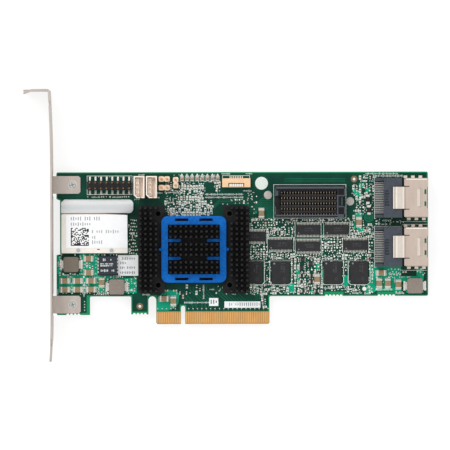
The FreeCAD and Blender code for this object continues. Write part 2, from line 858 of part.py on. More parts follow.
def pin_header():
    header_x = from_left(header_from_left)
    header_y = below_top(header_below_top)
    seat = top_z + header_lead_height
    body = [chamfered_block(x, header_y, header_pitch, header_depth, header_cell_cut, seat,
                            top_z + header_height) for x in row(header_x, header_pitch, header_columns)]
    pins, holes = [], []
    for x in row(header_x, header_pitch, header_columns):
        for s in (-1, 1):
            y = header_y + s * header_pitch / 2
            end = header_y + s * header_lead_reach
            ys = sorted((y - s * header_pin / 2, end))
            upright = block(x, y, header_pin, header_pin, top_z, header_pin_height)
            lead = box(x - header_pin / 2, x + header_pin / 2, ys[0], ys[1], top_z, seat)
            pins.append(upright.fuse(lead).removeSplitter())
            holes.append(block(x, y, header_pin, header_pin, top_z - past, header_height + 2 * past))
    keep("header_block", body[0].fuse(body[1:]).removeSplitter().cut(holes))
    keep("header_pins", pins)


def chamfered_corner(x, y, inset, cut):
    """The plan of a wire socket, or of its inside, with its lower left corner cut off."""
    left, right = x - wire_socket_width / 2 + inset, x + wire_socket_width / 2 - inset
    low, high = y - wire_socket_length / 2 + inset, y + wire_socket_length / 2 - inset
    return [(left + cut, low, 0), (right, low, 0), (right, high, 0), (left, high, 0), (left, low + cut, 0)]


def wire_sockets():
    top = top_z + wire_socket_height
    floor = top_z + wire_socket_floor
    wall = wire_socket_wall
    shells, pins = [], []
    for from_edge, under_top in wire_socket_places:
        x, y = from_left(from_edge), below_top(under_top)
        outer = chamfered_corner(x, y, 0, wire_socket_chamfer)
        inner = chamfered_corner(x, y, wall, wire_socket_chamfer - wall * (2 - math.sqrt(2)))
        shell = prism(outer, top_z, top).cut(prism(inner, floor, top + past))
        slot_x = x + wire_socket_slot_offset
        low = y - wire_socket_length / 2
        cuts = [box(slot_x - wire_socket_slot / 2, slot_x + wire_socket_slot / 2, low - past, low + 2 * wall,
                    floor, top + past)]
        for pin_y in row(y, wire_pin_pitch, wire_pin_count):
            pin_x = x + wire_pin_offset
            base = bottom_z - tail_below_board
            pins.append(block(pin_x, pin_y, wire_pin, wire_pin, base, top_z + wire_pin_height - base))
            cuts.append(block(pin_x, pin_y, wire_pin, wire_pin, top_z - past, wire_socket_floor + 2 * past))
        shells.append(shell.cut(cuts))
    keep("wire_socket_shells", shells)
    keep("wire_socket_pins", pins)


def jumpers():
    blocks, pins = [], []
    for from_edge, under_top, angle in jumper_places:
        x, y = from_left(from_edge), below_top(under_top)
        cells = [chamfered_block(middle, 0, header_pitch, jumper_depth, jumper_cell_cut, top_z,
                                 top_z + jumper_height) for middle in row(0, header_pitch, 2)]
        body = cells[0].fuse(cells[1]).removeSplitter()
        base = bottom_z - tail_below_board
        for middle in row(0, header_pitch, 2):
            pin = block(middle, 0, header_pin, header_pin, base, top_z + header_pin_height - base)
            body = body.cut(block(middle, 0, header_pin, header_pin, top_z - past, jumper_height + 2 * past))
            pins.append(turned(pin, x, y, angle))
        blocks.append(turned(body, x, y, angle))
    keep("jumper_blocks", blocks)
    keep("jumper_pins", pins)


def cable_socket():
    """A block with one slot down to the board. The contacts stand in it and run out under its back wall."""
    x, y = from_left(cable_socket_from_left), below_top(cable_socket_below_top)
    slot_y = y + cable_slot_offset
    back = y + cable_socket_depth / 2
    shell = block(x, y, cable_socket_width, cable_socket_depth, top_z, cable_socket_height)
    slot = block(x, slot_y, cable_slot_width, cable_slot_depth, top_z - past, cable_socket_height + 2 * past)
    channel = box(x - cable_slot_width / 2, x + cable_slot_width / 2, slot_y, back + past,
                  top_z - past, top_z + cable_tail_height)
    contacts = []
    for contact_x in row(x, cable_contact_pitch, cable_contacts):
        blade = block(contact_x, slot_y, cable_contact_width, cable_blade_depth, top_z, cable_contact_height)
        tail = box(contact_x - cable_contact_width / 2, contact_x + cable_contact_width / 2,
                   slot_y, back + cable_tail_reach, top_z, top_z + cable_tail_height)
        contacts.append(blade.fuse(tail).removeSplitter())
    keep("cable_socket_shell", shell.cut([slot, channel]))
    keep("cable_socket_contacts", contacts)


def module_socket():
    """A tray with five deep rows, a key at each end and two pockets at the right end."""
    x = board_right - module_socket_from_right
    y = below_top(module_socket_below_top)
    top = top_z + module_socket_height
    floor = top_z + module_socket_floor
    left, right = x - module_socket_width / 2, x + module_socket_width / 2
    shell = block(x, y, module_socket_width, module_socket_depth, top_z, module_socket_height)
    field_x, field_y = x + module_field_shift_x, y + module_field_shift_y
    contact_span = module_columns * module_column_pitch
    row_span = contact_span + 2 * module_row_end
    row_middles = row(field_y, module_row_pitch, module_rows)
    field_low = row_middles[0] - module_row_pitch / 2
    field_high = row_middles[-1] + module_row_pitch / 2
    cuts = [box(field_x - row_span / 2, field_x + row_span / 2, field_low, field_high,
                top - module_field_drop, top + past)]
    for row_y in row_middles:
        cuts.append(block(field_x, row_y, row_span, module_row_pitch - module_wall, floor,
                          module_socket_height))
    cuts.append(box(left - past, left + module_left_key_depth, y - module_left_key / 2,
                    y + module_left_key / 2, top - module_left_key_drop, top + past))
    cuts.append(box(right - module_right_key_depth, right + past, y - module_right_key / 2,
                    y + module_right_key / 2, top_z - past, top + past))
    pocket_x = right - module_socket_rim / 2 - module_end_pocket / 2
    for pocket_y in row(y, module_end_pocket_spacing, 2):
        cuts.append(block(pocket_x, pocket_y, module_end_pocket, module_end_pocket_length, floor,
                          module_socket_height))
    contacts = [block(field_x, row_y, contact_span, module_contact_thickness, floor, module_contact_height)
                for row_y in row_middles]
    keep("module_socket_shell", shell.cut(cuts))
    keep("module_socket_contacts", contacts)


def port(prefix, y):
    """One port: plastic housing at the back, folded cage at the mouth, which faces +X."""
    port_middle_x = port_places()[0]
    front_of_body = port_middle_x - port_gap / 2
    back_of_body = front_of_body - port_body_length
    cage_back = port_middle_x + port_gap / 2
    cage_front = cage_back + cage_length
    top = top_z + port_height
    half = port_width / 2
    sheet_z = top_z + cage_height

    body = box(back_of_body, front_of_body, y - half, y + half, top_z, top)
    cheek_width = (port_width - port_comb_width) / 2
    cheeks = [block(back_of_body - port_comb_length / 2, y + s * (half - cheek_width / 2), port_comb_length,
                    cheek_width, top_z, port_comb_cheek_height) for s in (-1, 1)]
    shelf = block(back_of_body - port_shelf_length / 2, y, port_shelf_length, port_comb_width,
                  top_z + port_shelf_low, port_shelf_high - port_shelf_low)
    nose_half = half - cage_sheet - nose_clearance
    nose = box(front_of_body, front_of_body + port_gap + port_nose_length, y - nose_half, y + nose_half,
               top_z + cage_sheet + nose_clearance, sheet_z - cage_sheet - nose_clearance)
    slot_z = top_z + cage_height / 2 - port_slot_height / 2
    slot = box(front_of_body + port_gap + port_nose_length - port_slot_depth, cage_front,
               y - port_slot_width / 2, y + port_slot_width / 2, slot_z, slot_z + port_slot_height)
    contacts = []
    rear = back_of_body - port_comb_length
    for contact_y in row(y, port_contact_pitch, port_contact_count):
        low, high = contact_y - port_contact_width / 2, contact_y + port_contact_width / 2
        level = top_z + port_contact_level
        thick = port_contact_thickness
        contacts.append(along_x([
            (back_of_body, level, 0), (rear, level, 0), (rear, top_z, 0), (rear + thick, top_z, 0),
            (rear + thick, level - thick, 0), (back_of_body, level - thick, 0)],
            low, high))
    housing = body.fuse(cheeks + [shelf, nose]).cut(slot).removeSplitter()
    keep(prefix + "_port_housing", housing)
    keep(prefix + "_port_contacts", contacts)

    outer = tunnel(y, half, top_z, sheet_z, cage_corner, cage_back, cage_front)
    inner = tunnel(y, half - cage_sheet, top_z + cage_sheet, sheet_z - cage_sheet, 0, cage_back - past,
                   cage_front + past)
    tube = outer.cut(inner)
    adds, cuts = [], []
    tongue_back = cage_back - cage_tongue_reach
    rise = sheet_z + cage_tongue_rise
    bend = cage_back - cage_tongue_rise
    root = cage_back + cage_tongue_root
    adds.append(along_x([
        (root, sheet_z - cage_sheet, 0), (root, sheet_z, 0), (cage_back, sheet_z, 0), (bend, rise, 0),
        (tongue_back, rise, 0), (tongue_back - cage_tongue_splay, top, 0),
        (tongue_back - cage_tongue_splay + cage_sheet, top, 0),
        (tongue_back + cage_sheet, rise - cage_sheet, 0), (bend, rise - cage_sheet, 0),
        (cage_back, sheet_z - cage_sheet, 0)],
        y - cage_tongue_width / 2, y + cage_tongue_width / 2))
    rib_x = cage_front - cage_rib_from_front
    adds.append(block(rib_x, y, cage_rib_width, cage_rib_length, sheet_z - cage_rib_root,
                      cage_rib_height + cage_rib_root))
    for s in (-1, 1):
        slot_y = y + s * (cage_tongue_width + cage_tongue_slot_width) / 2
        cuts.append(box(cage_back - past, cage_back + cage_tongue_slot, slot_y - cage_tongue_slot_width / 2,
                        slot_y + cage_tongue_slot_width / 2, sheet_z - past, sheet_z + past))
        cuts.append(block(cage_front - cage_window_from_front, y + s * cage_window_spacing / 2,
                          cage_window_width, cage_window_length, sheet_z - past, 2 * past))
        feet_middle = (cage_back + cage_front) / 2 - (cage_foot_stagger if s > 0 else 0)
        for foot_x in row(feet_middle, cage_foot_pitch, cage_feet):
            ys = sorted((y + s * (half - cage_corner), y + s * (half + cage_foot_reach)))
            adds.append(box(foot_x - cage_foot_width / 2, foot_x + cage_foot_width / 2, ys[0], ys[1],
                            top_z, top_z + cage_sheet))
    cuts.append(box(cage_front - cage_lip_cut, cage_front + past, y - cage_lip_length / 2,
                    y + cage_lip_length / 2, sheet_z - past, sheet_z + past))
    adds += cage_tails(y, bottom_z - tail_below_board, top_z + cage_corner + cage_sheet, 0)
    keep(prefix + "_port_cage", tube.fuse(adds).cut(cuts).removeSplitter())


def tunnel(y, half, z0, z1, radius, x0, x1):
    """A bar along X with a flat floor and rounded upper edges."""
    bar = Part.Face(rounded_wire([(-half, z0, 0), (half, z0, 0), (half, z1, radius), (-half, z1, radius)]))
    bar.rotate(V(0, 0, 0), V(1, 1, 1), 120)
    bar.translate(V(x0, y, 0))
    return bar.extrude(V(x1 - x0, 0, 0))


def chips():
    keep("memory_chips", [block(x, y, memory_width, memory_length, top_z, memory_height)
                          for x, y in memory_places])
    bodies, leads = [], []
    half = buffer_width / 2
    body_z = top_z + buffer_lift
    for x, y in buffer_places:
        bodies.append(block(x, y, buffer_length, buffer_width, body_z, buffer_height))
        reach = buffer_lead_span / 2
        for s in (-1, 1):
            wall, foot = y + s * half, y + s * (half + buffer_lead_reach)
            level = top_z + buffer_lead_height
            points = [V(x - reach, py, pz) for py, pz in (
                (wall, level), (foot, top_z + buffer_lead_thickness), (foot, top_z),
                (wall, level - buffer_lead_thickness), (wall, level))]
            leads.append(Part.Face(Part.makePolygon(points)).extrude(V(2 * reach, 0, 0)))
    keep("buffer_chips", bodies)
    keep("buffer_leads", leads)
    keep("small_chips", [block(x, y, small_chip_width, small_chip_length, top_z, small_chip_height)
                         for x, y in small_chips])
    keep("transistors", [block(x, y, transistor_width, transistor_length, top_z, transistor_height)
                         for x, y in transistor_places])


def power_parts():
    cores, terminals = [], []
    places = [(board_left + x, y) for x, y in left_inductors]
    places += [(board_right + x, y) for x, y in right_inductors]
    for x, y in places:
        cores.append(chamfered_block(x, y, inductor_side, inductor_side, inductor_chamfer, top_z,
                                     top_z + inductor_height))
        for s in (-1, 1):
            side_x = x + s * inductor_side / 2
            xs = sorted((side_x, side_x + s * inductor_terminal_sheet))
            upright = box(xs[0], xs[1], y - inductor_terminal_width / 2, y + inductor_terminal_width / 2,
                          top_z, top_z + inductor_terminal_height)
            xs = sorted((side_x, side_x + s * inductor_terminal_reach))
            foot = box(xs[0], xs[1], y - inductor_terminal_width / 2, y + inductor_terminal_width / 2,
                       top_z, top_z + inductor_terminal_sheet)
            terminals.append(upright.fuse(foot).removeSplitter())
    keep("inductor_cores", cores)
    keep("inductor_terminals", terminals)
    side = power_module_side
    power_module_x = from_left(power_module_from_left)
    module = block(power_module_x, power_module_y, side, side, top_z, power_module_height)
    pads = []
    for s in (-1, 1):
        pad_x = power_module_x + s * (side + power_module_pad_reach) / 2
        for y in row(power_module_y, power_module_pad_pitch, power_module_pads):
            pads.append(block(pad_x, y, power_module_pad_reach, power_module_pad_width, top_z,
                              power_module_pad_height))
    keep("power_module", module)
    keep("power_module_pads", pads)


def passives():
    bodies, ends = [], []
    half = capacitor_length / 2
    body = block(0, 0, capacitor_length - 2 * capacitor_end, capacitor_width, top_z, capacitor_height)
    side = capacitor_width + 2 * capacitor_end_rise
    caps = [block(s * (half - capacitor_end / 2), 0, capacitor_end, side, top_z,
                  capacitor_height + capacitor_end_rise) for s in (-1, 1)]
    places = [(board_left + x, y, angle) for x, y, angle in left_large_capacitors]
    places += middle_large_capacitors
    places += [(board_right + x, y, angle) for x, y, angle in right_large_capacitors]
    for x, y, angle in places:
        bodies.append(turned(body, x, y, angle))
        ends += [turned(cap, x, y, angle) for cap in caps]
    keep("large_capacitor_bodies", bodies)
    keep("large_capacitor_ends", ends)
    chip = block(0, 0, small_capacitor_length, small_capacitor_width, top_z, small_capacitor_height)
    keep("small_capacitors", [turned(chip, x, y, angle) for x, y, angle in small_capacitors])
    keep("resistors", [block(x, y, resistor_length, resistor_width, top_z, resistor_height)
                       for x, y in resistor_places])
    back = block(0, 0, small_capacitor_length, small_capacitor_width, bottom_z - small_capacitor_height,
                 small_capacitor_height)
    keep("solder_side_capacitors", [
        back.translated(V(x, y, 0)) for x in row(cooler_x, back_capacitor_pitch_x, back_capacitor_columns)
        for y in row(cooler_y, back_capacitor_pitch_y, back_capacitor_rows)])


def status_leds():
    y = below_top(led_below_top)
    keep("status_leds", [block(from_left(led_first_from_left + i * led_pitch), y, led_width, led_length,
                               top_z, led_height) for i in range(led_count)])


def cover():
    right = cover_left + cover_width
    high = cover_bottom + cover_depth
    top = top_z + cover_height
    outline = [(cover_left, cover_bottom, 0), (right, cover_bottom, 0),
               (right, cover_bottom + cover_step_height, 0),
               (right - cover_right_step, cover_bottom + cover_step_height, 0),
               (right - cover_right_step, high, 0), (cover_left, high, 0)]
    keep("cover_base", prism(outline, top_z, top))
    bar_low = high + cover_bar_gap
    bar_high = bar_low + cover_bar_width
    bar_right = cover_left + cover_bar_length
    plan = prism([(cover_left, bar_low, 0), (bar_right, bar_low, cover_bar_round),
                  (bar_right, bar_high, cover_bar_round), (cover_left + cover_bar_chamfer, bar_high, 0),
                  (cover_left, bar_high - cover_bar_chamfer, 0)], top_z, top_z + cover_bar_height)
    radius = cover_bar_width / 2
    axis_z = top_z + cover_bar_height - radius
    roll = Part.makeCylinder(radius, cover_bar_length + 2 * past,
                             V(cover_left - past, (bar_low + bar_high) / 2, axis_z), V(1, 0, 0))
    lower = box(cover_left - past, bar_right + past, bar_low, bar_high, top_z, axis_z)
    keep("cover_bar", plan.common(roll.fuse(lower)).removeSplitter())


def labels():
    cover_top = top_z + cover_height
    left = cover_left + product_label_inset
    low = cover_bottom + product_label_from_cover
    keep("product_label", box(left, left + product_label_width, low, low + product_label_length,
                              cover_top, cover_top + label_thickness))
    module_right = from_left(power_module_from_left) + power_module_side / 2 + power_module_pad_reach
    part_label_x = module_right + part_label_gap + part_label_width / 2
    keep("part_label", block(part_label_x, power_module_y, part_label_width, part_label_length, top_z,
                             label_thickness))
    keep("revision_label", block(revision_label_x, revision_label_y, revision_label_width,
                                 revision_label_length, top_z, label_thickness))
    keep("strip_label", block(strip_label_x, strip_label_y, strip_label_width, strip_label_length, top_z,
                              label_thickness))


board()
edge_contacts()
bracket()
bracket_screws()
controller()
heat_sink()
heat_sink_clip()
pin_header()
wire_sockets()
jumpers()
cable_socket()
module_socket()
port("upper", port_places()[1])
port("lower", port_places()[2])
chips()
power_parts()
passives()
status_leds()
cover()
labels()

os.makedirs("parts", exist_ok=True)
for name, shape in nodes.items():
    shape.exportStep("parts/" + name + ".step")
    print(name, len(shape.Solids), "solids", round(shape.Volume, 2), "mm3", "valid", shape.isValid())
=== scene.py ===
# Looks of a raid controller card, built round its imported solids.
# Lengths are written in millimetres and turned into metres when a mesh is made.
import math
import random

import bpy
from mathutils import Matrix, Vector
from mathutils.geometry import tessellate_polygon


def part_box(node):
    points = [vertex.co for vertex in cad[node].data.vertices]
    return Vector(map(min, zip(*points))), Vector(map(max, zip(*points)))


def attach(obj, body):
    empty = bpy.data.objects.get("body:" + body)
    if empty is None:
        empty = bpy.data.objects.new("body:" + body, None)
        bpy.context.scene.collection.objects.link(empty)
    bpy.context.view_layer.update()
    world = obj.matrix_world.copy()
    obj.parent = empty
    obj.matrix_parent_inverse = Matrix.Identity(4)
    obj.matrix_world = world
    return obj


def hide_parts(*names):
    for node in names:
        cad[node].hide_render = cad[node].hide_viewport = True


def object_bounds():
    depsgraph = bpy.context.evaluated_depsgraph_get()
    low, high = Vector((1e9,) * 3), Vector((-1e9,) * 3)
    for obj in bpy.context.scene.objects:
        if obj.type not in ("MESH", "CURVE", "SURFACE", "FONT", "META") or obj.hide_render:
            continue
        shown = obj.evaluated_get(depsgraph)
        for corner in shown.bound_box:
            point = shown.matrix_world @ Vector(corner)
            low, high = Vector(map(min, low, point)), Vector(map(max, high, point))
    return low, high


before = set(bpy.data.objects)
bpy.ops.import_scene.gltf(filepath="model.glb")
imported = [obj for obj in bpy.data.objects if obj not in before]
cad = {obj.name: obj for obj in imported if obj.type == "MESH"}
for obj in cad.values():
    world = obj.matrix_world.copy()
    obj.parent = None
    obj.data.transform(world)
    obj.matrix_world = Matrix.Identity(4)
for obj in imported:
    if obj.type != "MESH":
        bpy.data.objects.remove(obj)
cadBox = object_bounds()
mm = 0.001


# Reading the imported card

def boxOf(node):
    low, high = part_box(node)
    return low / mm, high / mm


def solidsOf(node):
    # the box of each separate solid of a node, from left to right
    mesh = cad[node].data
    places = [tuple(round(c / mm, 3) for c in v.co) for v in mesh.vertices]
    leader = {p: p for p in places}

    def leaderOf(p):
        while leader[p] != p:
            leader[p] = leader[leader[p]]
            p = leader[p]
        return p

    for face in mesh.polygons:
        first = leaderOf(places[face.vertices[0]])
        for i in face.vertices[1:]:
            leader[leaderOf(places[i])] = first
    groups = {}
    for p in leader:
        groups.setdefault(leaderOf(p), []).append(p)
    boxes = [(Vector([min(p[i] for p in group) for i in range(3)]),
              Vector([max(p[i] for p in group) for i in range(3)])) for group in groups.values()]
    return sorted(boxes, key=lambda b: (b[0].x, b[0].y))


def midOf(low, high):
    return (low.x + high.x) / 2, (low.y + high.y) / 2


boardLow, boardHigh = boxOf("circuit_board")
faceZ = boardHigh.z
backZ = boardLow.z
# how far coats and marks reach into the solid below them
bite = 0.02


# Collecting shapes

class Shape:
    # points and faces in millimetres, and the number of each face's finish
    def __init__(self):
        self.points = []
        self.faces = []
        self.marks = []

    def add(self, points, faces, mark=0, spot=None):
        start = len(self.points)
        if spot:
            x, y, angle = spot
            c, s = math.cos(math.radians(angle)), math.sin(math.radians(angle))
            points = [(x + p[0] * c - p[1] * s, y + p[0] * s + p[1] * c, p[2]) for p in points]
        self.points += [tuple(p) for p in points]
        self.faces += [tuple(start + i for i in face) for face in faces]
        self.marks += [mark] * len(faces)

    def stack(self, rings, mark=0, spot=None, closed=True):
        # a skin over rings of equal count, from the lowest to the highest
        count = len(rings[0])
        points = [p for ring in rings for p in ring]
        faces = []
        for level in range(len(rings) - 1):
            for i in range(count):
                j = (i + 1) % count
                low, high = level * count, (level + 1) * count
                faces.append((low + i, low + j, high + j, high + i))
        if closed:
            faces.append(tuple(reversed(range(count))))
            faces.append(tuple(range(len(points) - count, len(points))))
        self.add(points, faces, mark, spot)

    def prism(self, outline, z0, z1, mark=0, spot=None):
        self.stack([[(x, y, z) for x, y in outline] for z in (z0, z1)], mark, spot)

    def box(self, x0, x1, y0, y1, z0, z1, mark=0, cut=0.0, spot=None):
        # a box, with its upper edges cut where cut isn't 0
        def ring(inset, z):
            return [(x0 + inset, y0 + inset, z), (x1 - inset, y0 + inset, z),
                    (x1 - inset, y1 - inset, z), (x0 + inset, y1 - inset, z)]
        rings = [ring(0, z0), ring(0, z1)]
        if cut:
            rings = [ring(0, z0), ring(0, z1 - cut), ring(cut, z1)]
        self.stack(rings, mark, spot)

    def block(self, x, y, width, length, z0, z1, mark=0, cut=0.0, angle=0):
        self.box(-width / 2, width / 2, -length / 2, length / 2, z0, z1, mark, cut, (x, y, angle))

    def turned(self, x, y, profile, count=24, mark=0):
        # a turned form: a profile of (radius, z) from its lowest to its highest point
        rings = [circle(x, y, r, count, z) for r, z in profile]
        self.stack(rings, mark)

    def disc(self, x, y, radius, z0, z1, count, mark=0):
        self.turned(x, y, [(radius, z0), (radius, z1)], count, mark)

    def ring(self, x, y, inner, outer, z0, z1, count=24, mark=0):
        rings = [circle(x, y, r, count, z) for r, z in
                 ((inner, z0), (outer, z0), (outer, z1), (inner, z1), (inner, z0))]
        self.stack(rings, mark, closed=False)

    def bar(self, x0, x1, outline, mark=0):
        # a bar along X, with an outline in Y and Z
        self.stack([[(x, y, z) for y, z in outline] for x in (x0, x1)], mark)

    def strip(self, path, width, z0, z1, mark=0):
        # a flat band along a path, with mitred corners
        left, right = [], []
        for i, p in enumerate(path):
            before = Vector(p) - Vector(path[i - 1]) if i else Vector(path[1]) - Vector(p)
            after = Vector(path[i + 1]) - Vector(p) if i < len(path) - 1 else before
            a, b = before.normalized(), after.normalized()
            across = Vector((-(a + b).y, (a + b).x)).normalized()
            reach = width / 2 / max(0.5, across.dot(Vector((-a.y, a.x))))
            left.append((p[0] + across.x * reach, p[1] + across.y * reach))
            right.append((p[0] - across.x * reach, p[1] - across.y * reach))
        self.prism(right + left[::-1], z0, z1, mark)

    def plate(self, loops, z0, z1, mark=0):
        # a flat plate with holes: the first loop is the outline
        flat = [[Vector((x, y, 0)) for x, y in loop] for loop in loops]
        points = [p for loop in flat for p in loop]
        total = len(points)
        faces = []
        for a, b, c in tessellate_polygon(flat):
            if (points[b] - points[a]).cross(points[c] - points[a]).z < 0:
                b, c = c, b
            faces.append((a + total, b + total, c + total))
            faces.append((c, b, a))
        start = 0
        for loop in loops:
            area = sum(p[0] * q[1] - q[0] * p[1] for p, q in zip(loop, loop[1:] + loop[:1]))
            outline = loop is loops[0]
            for i in range(len(loop)):
                a, b = start + i, start + (i + 1) % len(loop)
                if (area > 0) != outline:
                    a, b = b, a
                faces.append((a, b, b + total, a + total))
            start += len(loop)
        self.add([(p.x, p.y, z) for z in (z0, z1) for p in points], faces, mark)

    def piece(self, name, coats, slotName, replaces=(), smooth=False):
        mesh = bpy.data.meshes.new(name)
        mesh.from_pydata([Vector(p) * mm for p in self.points], [], self.faces)
        mesh.materials.clear()
        for coat in coats:
            mesh.materials.append(finishes[coat])
        mesh.polygons.foreach_set("material_index", self.marks)
        mesh.polygons.foreach_set("use_smooth", [smooth] * len(mesh.polygons))
        mesh.update()
        made = bpy.data.objects.new(name, mesh)
        bpy.context.scene.collection.objects.link(made)
        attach(made, "root")
        if replaces:
            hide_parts(*replaces)
        return made


def circle(x, y, radius, count, z=None, start=0.0):
    places = [(x + radius * math.cos(start + 2 * math.pi * i / count),
               y + radius * math.sin(start + 2 * math.pi * i / count)) for i in range(count)]
    return places if z is None else [(px, py, z) for px, py in places]


def spread(middle, pitch, count):
    return [middle + (i - (count - 1) / 2) * pitch for i in range(count)]


# Places on the board as pixels of the photograph

photoMap = {"size": 450, "pixelsPerMm": 2.206, "originPixel": (183.1, 324.1), "turn": 0.0022}


def fromPixel(px, py):
    u, v = px - photoMap["originPixel"][0], photoMap["originPixel"][1] - py
    turn, scale = photoMap["turn"], photoMap["pixelsPerMm"]
    return (u + v * turn) / scale, (v - u * turn) / scale


# Finishes

def linear(colour):
    # display values of 0 to 255 as linear ones, and full opacity
    parts = [c / 255 / 12.92 if c < 10.3 else ((c / 255 + 0.055) / 1.055) ** 2.4 for c in colour]
    return (*parts, 1.0)


def addNode(tree, kind, inputs, **options):
    # a node whose sockets hold constants, or take the outputs given for them
    node = tree.nodes.new(kind)
    for key, value in options.items():
        setattr(node, key, value)
    for key, value in inputs.items():
        if isinstance(value, bpy.types.NodeSocket):
            tree.links.new(value, node.inputs[key])
        else:
            node.inputs[key].default_value = value
    return node.outputs


surfaceLook = {
    "driftFrom": 0.3, "driftTo": 0.7, "driftDetail": 3.0, "grainDetail": 2.0, "uneven": 0.08,
    "smoothest": 0.03, "coatRoughness": 0.15, "bandCore": 0.1,
}


def finish(name, row):
    # two colours that drift into each other, an uneven roughness and a fine relief
    look = surfaceLook
    colour, shade, patch, grain, relief, rough, specular, metal = row[:8]
    extra = row[8] if len(row) > 8 else {}
    material = bpy.data.materials.new(name)
    material.use_nodes = True
    tree = material.node_tree
    shader = tree.nodes["Principled BSDF"]
    place = addNode(tree, "ShaderNodeTexCoord", {})["Object"]
    stretched = addNode(tree, "ShaderNodeMapping",
                        {"Vector": place, "Scale": extra.get("stretch", (1, 1, 1))})["Vector"]
    drift = addNode(tree, "ShaderNodeTexNoise",
                    {"Vector": stretched, "Scale": 1 / (patch * mm),
                     "Detail": extra.get("detail", look["driftDetail"])})["Fac"]
    share = addNode(tree, "ShaderNodeMapRange",
                    {"Value": drift, "From Min": look["driftFrom"], "From Max": look["driftTo"]})["Result"]
    tone = addNode(tree, "ShaderNodeMix", {"Factor": share, "A": linear(colour), "B": linear(shade)},
                   data_type="RGBA")["Result"]
    if "band" in extra:
        # the colour changes towards the middle of a band along Y
        middle, half, inner = extra["band"]
        y = addNode(tree, "ShaderNodeSeparateXYZ", {0: place})["Y"]
        away = addNode(tree, "ShaderNodeMath", {0: y, 1: middle * mm}, operation="SUBTRACT")[0]
        reach = addNode(tree, "ShaderNodeMath", {0: away}, operation="ABSOLUTE")[0]
        fade = addNode(tree, "ShaderNodeMapRange",
                       {"Value": reach, "From Min": half * look["bandCore"] * mm, "From Max": half * mm},
                       interpolation_type="SMOOTHSTEP")["Result"]
        tone = addNode(tree, "ShaderNodeMix", {"Factor": fade, "A": linear(inner), "B": tone},
                       data_type="RGBA")["Result"]
    speck = addNode(tree, "ShaderNodeTexNoise",
                    {"Vector": stretched, "Scale": 1 / (grain * mm), "Detail": look["grainDetail"]})["Fac"]
    sheen = addNode(tree, "ShaderNodeMapRange",
                    {"Value": speck, "To Min": max(look["smoothest"], rough - look["uneven"]),
                     "To Max": min(1.0, rough + look["uneven"])})["Result"]
    bump = addNode(tree, "ShaderNodeBump",
                   {"Height": speck, "Strength": 1.0, "Distance": relief * mm})["Normal"]
    for socket, source in (("Base Color", tone), ("Roughness", sheen), ("Normal", bump)):
        tree.links.new(source, shader.inputs[socket])
    shader.inputs["Metallic"].default_value = metal
    shader.inputs["Specular IOR Level"].default_value = specular
    if "coat" in extra:
        shader.inputs["Coat Weight"].default_value = extra["coat"]
        shader.inputs["Coat Roughness"].default_value = look["coatRoughness"]
    return material


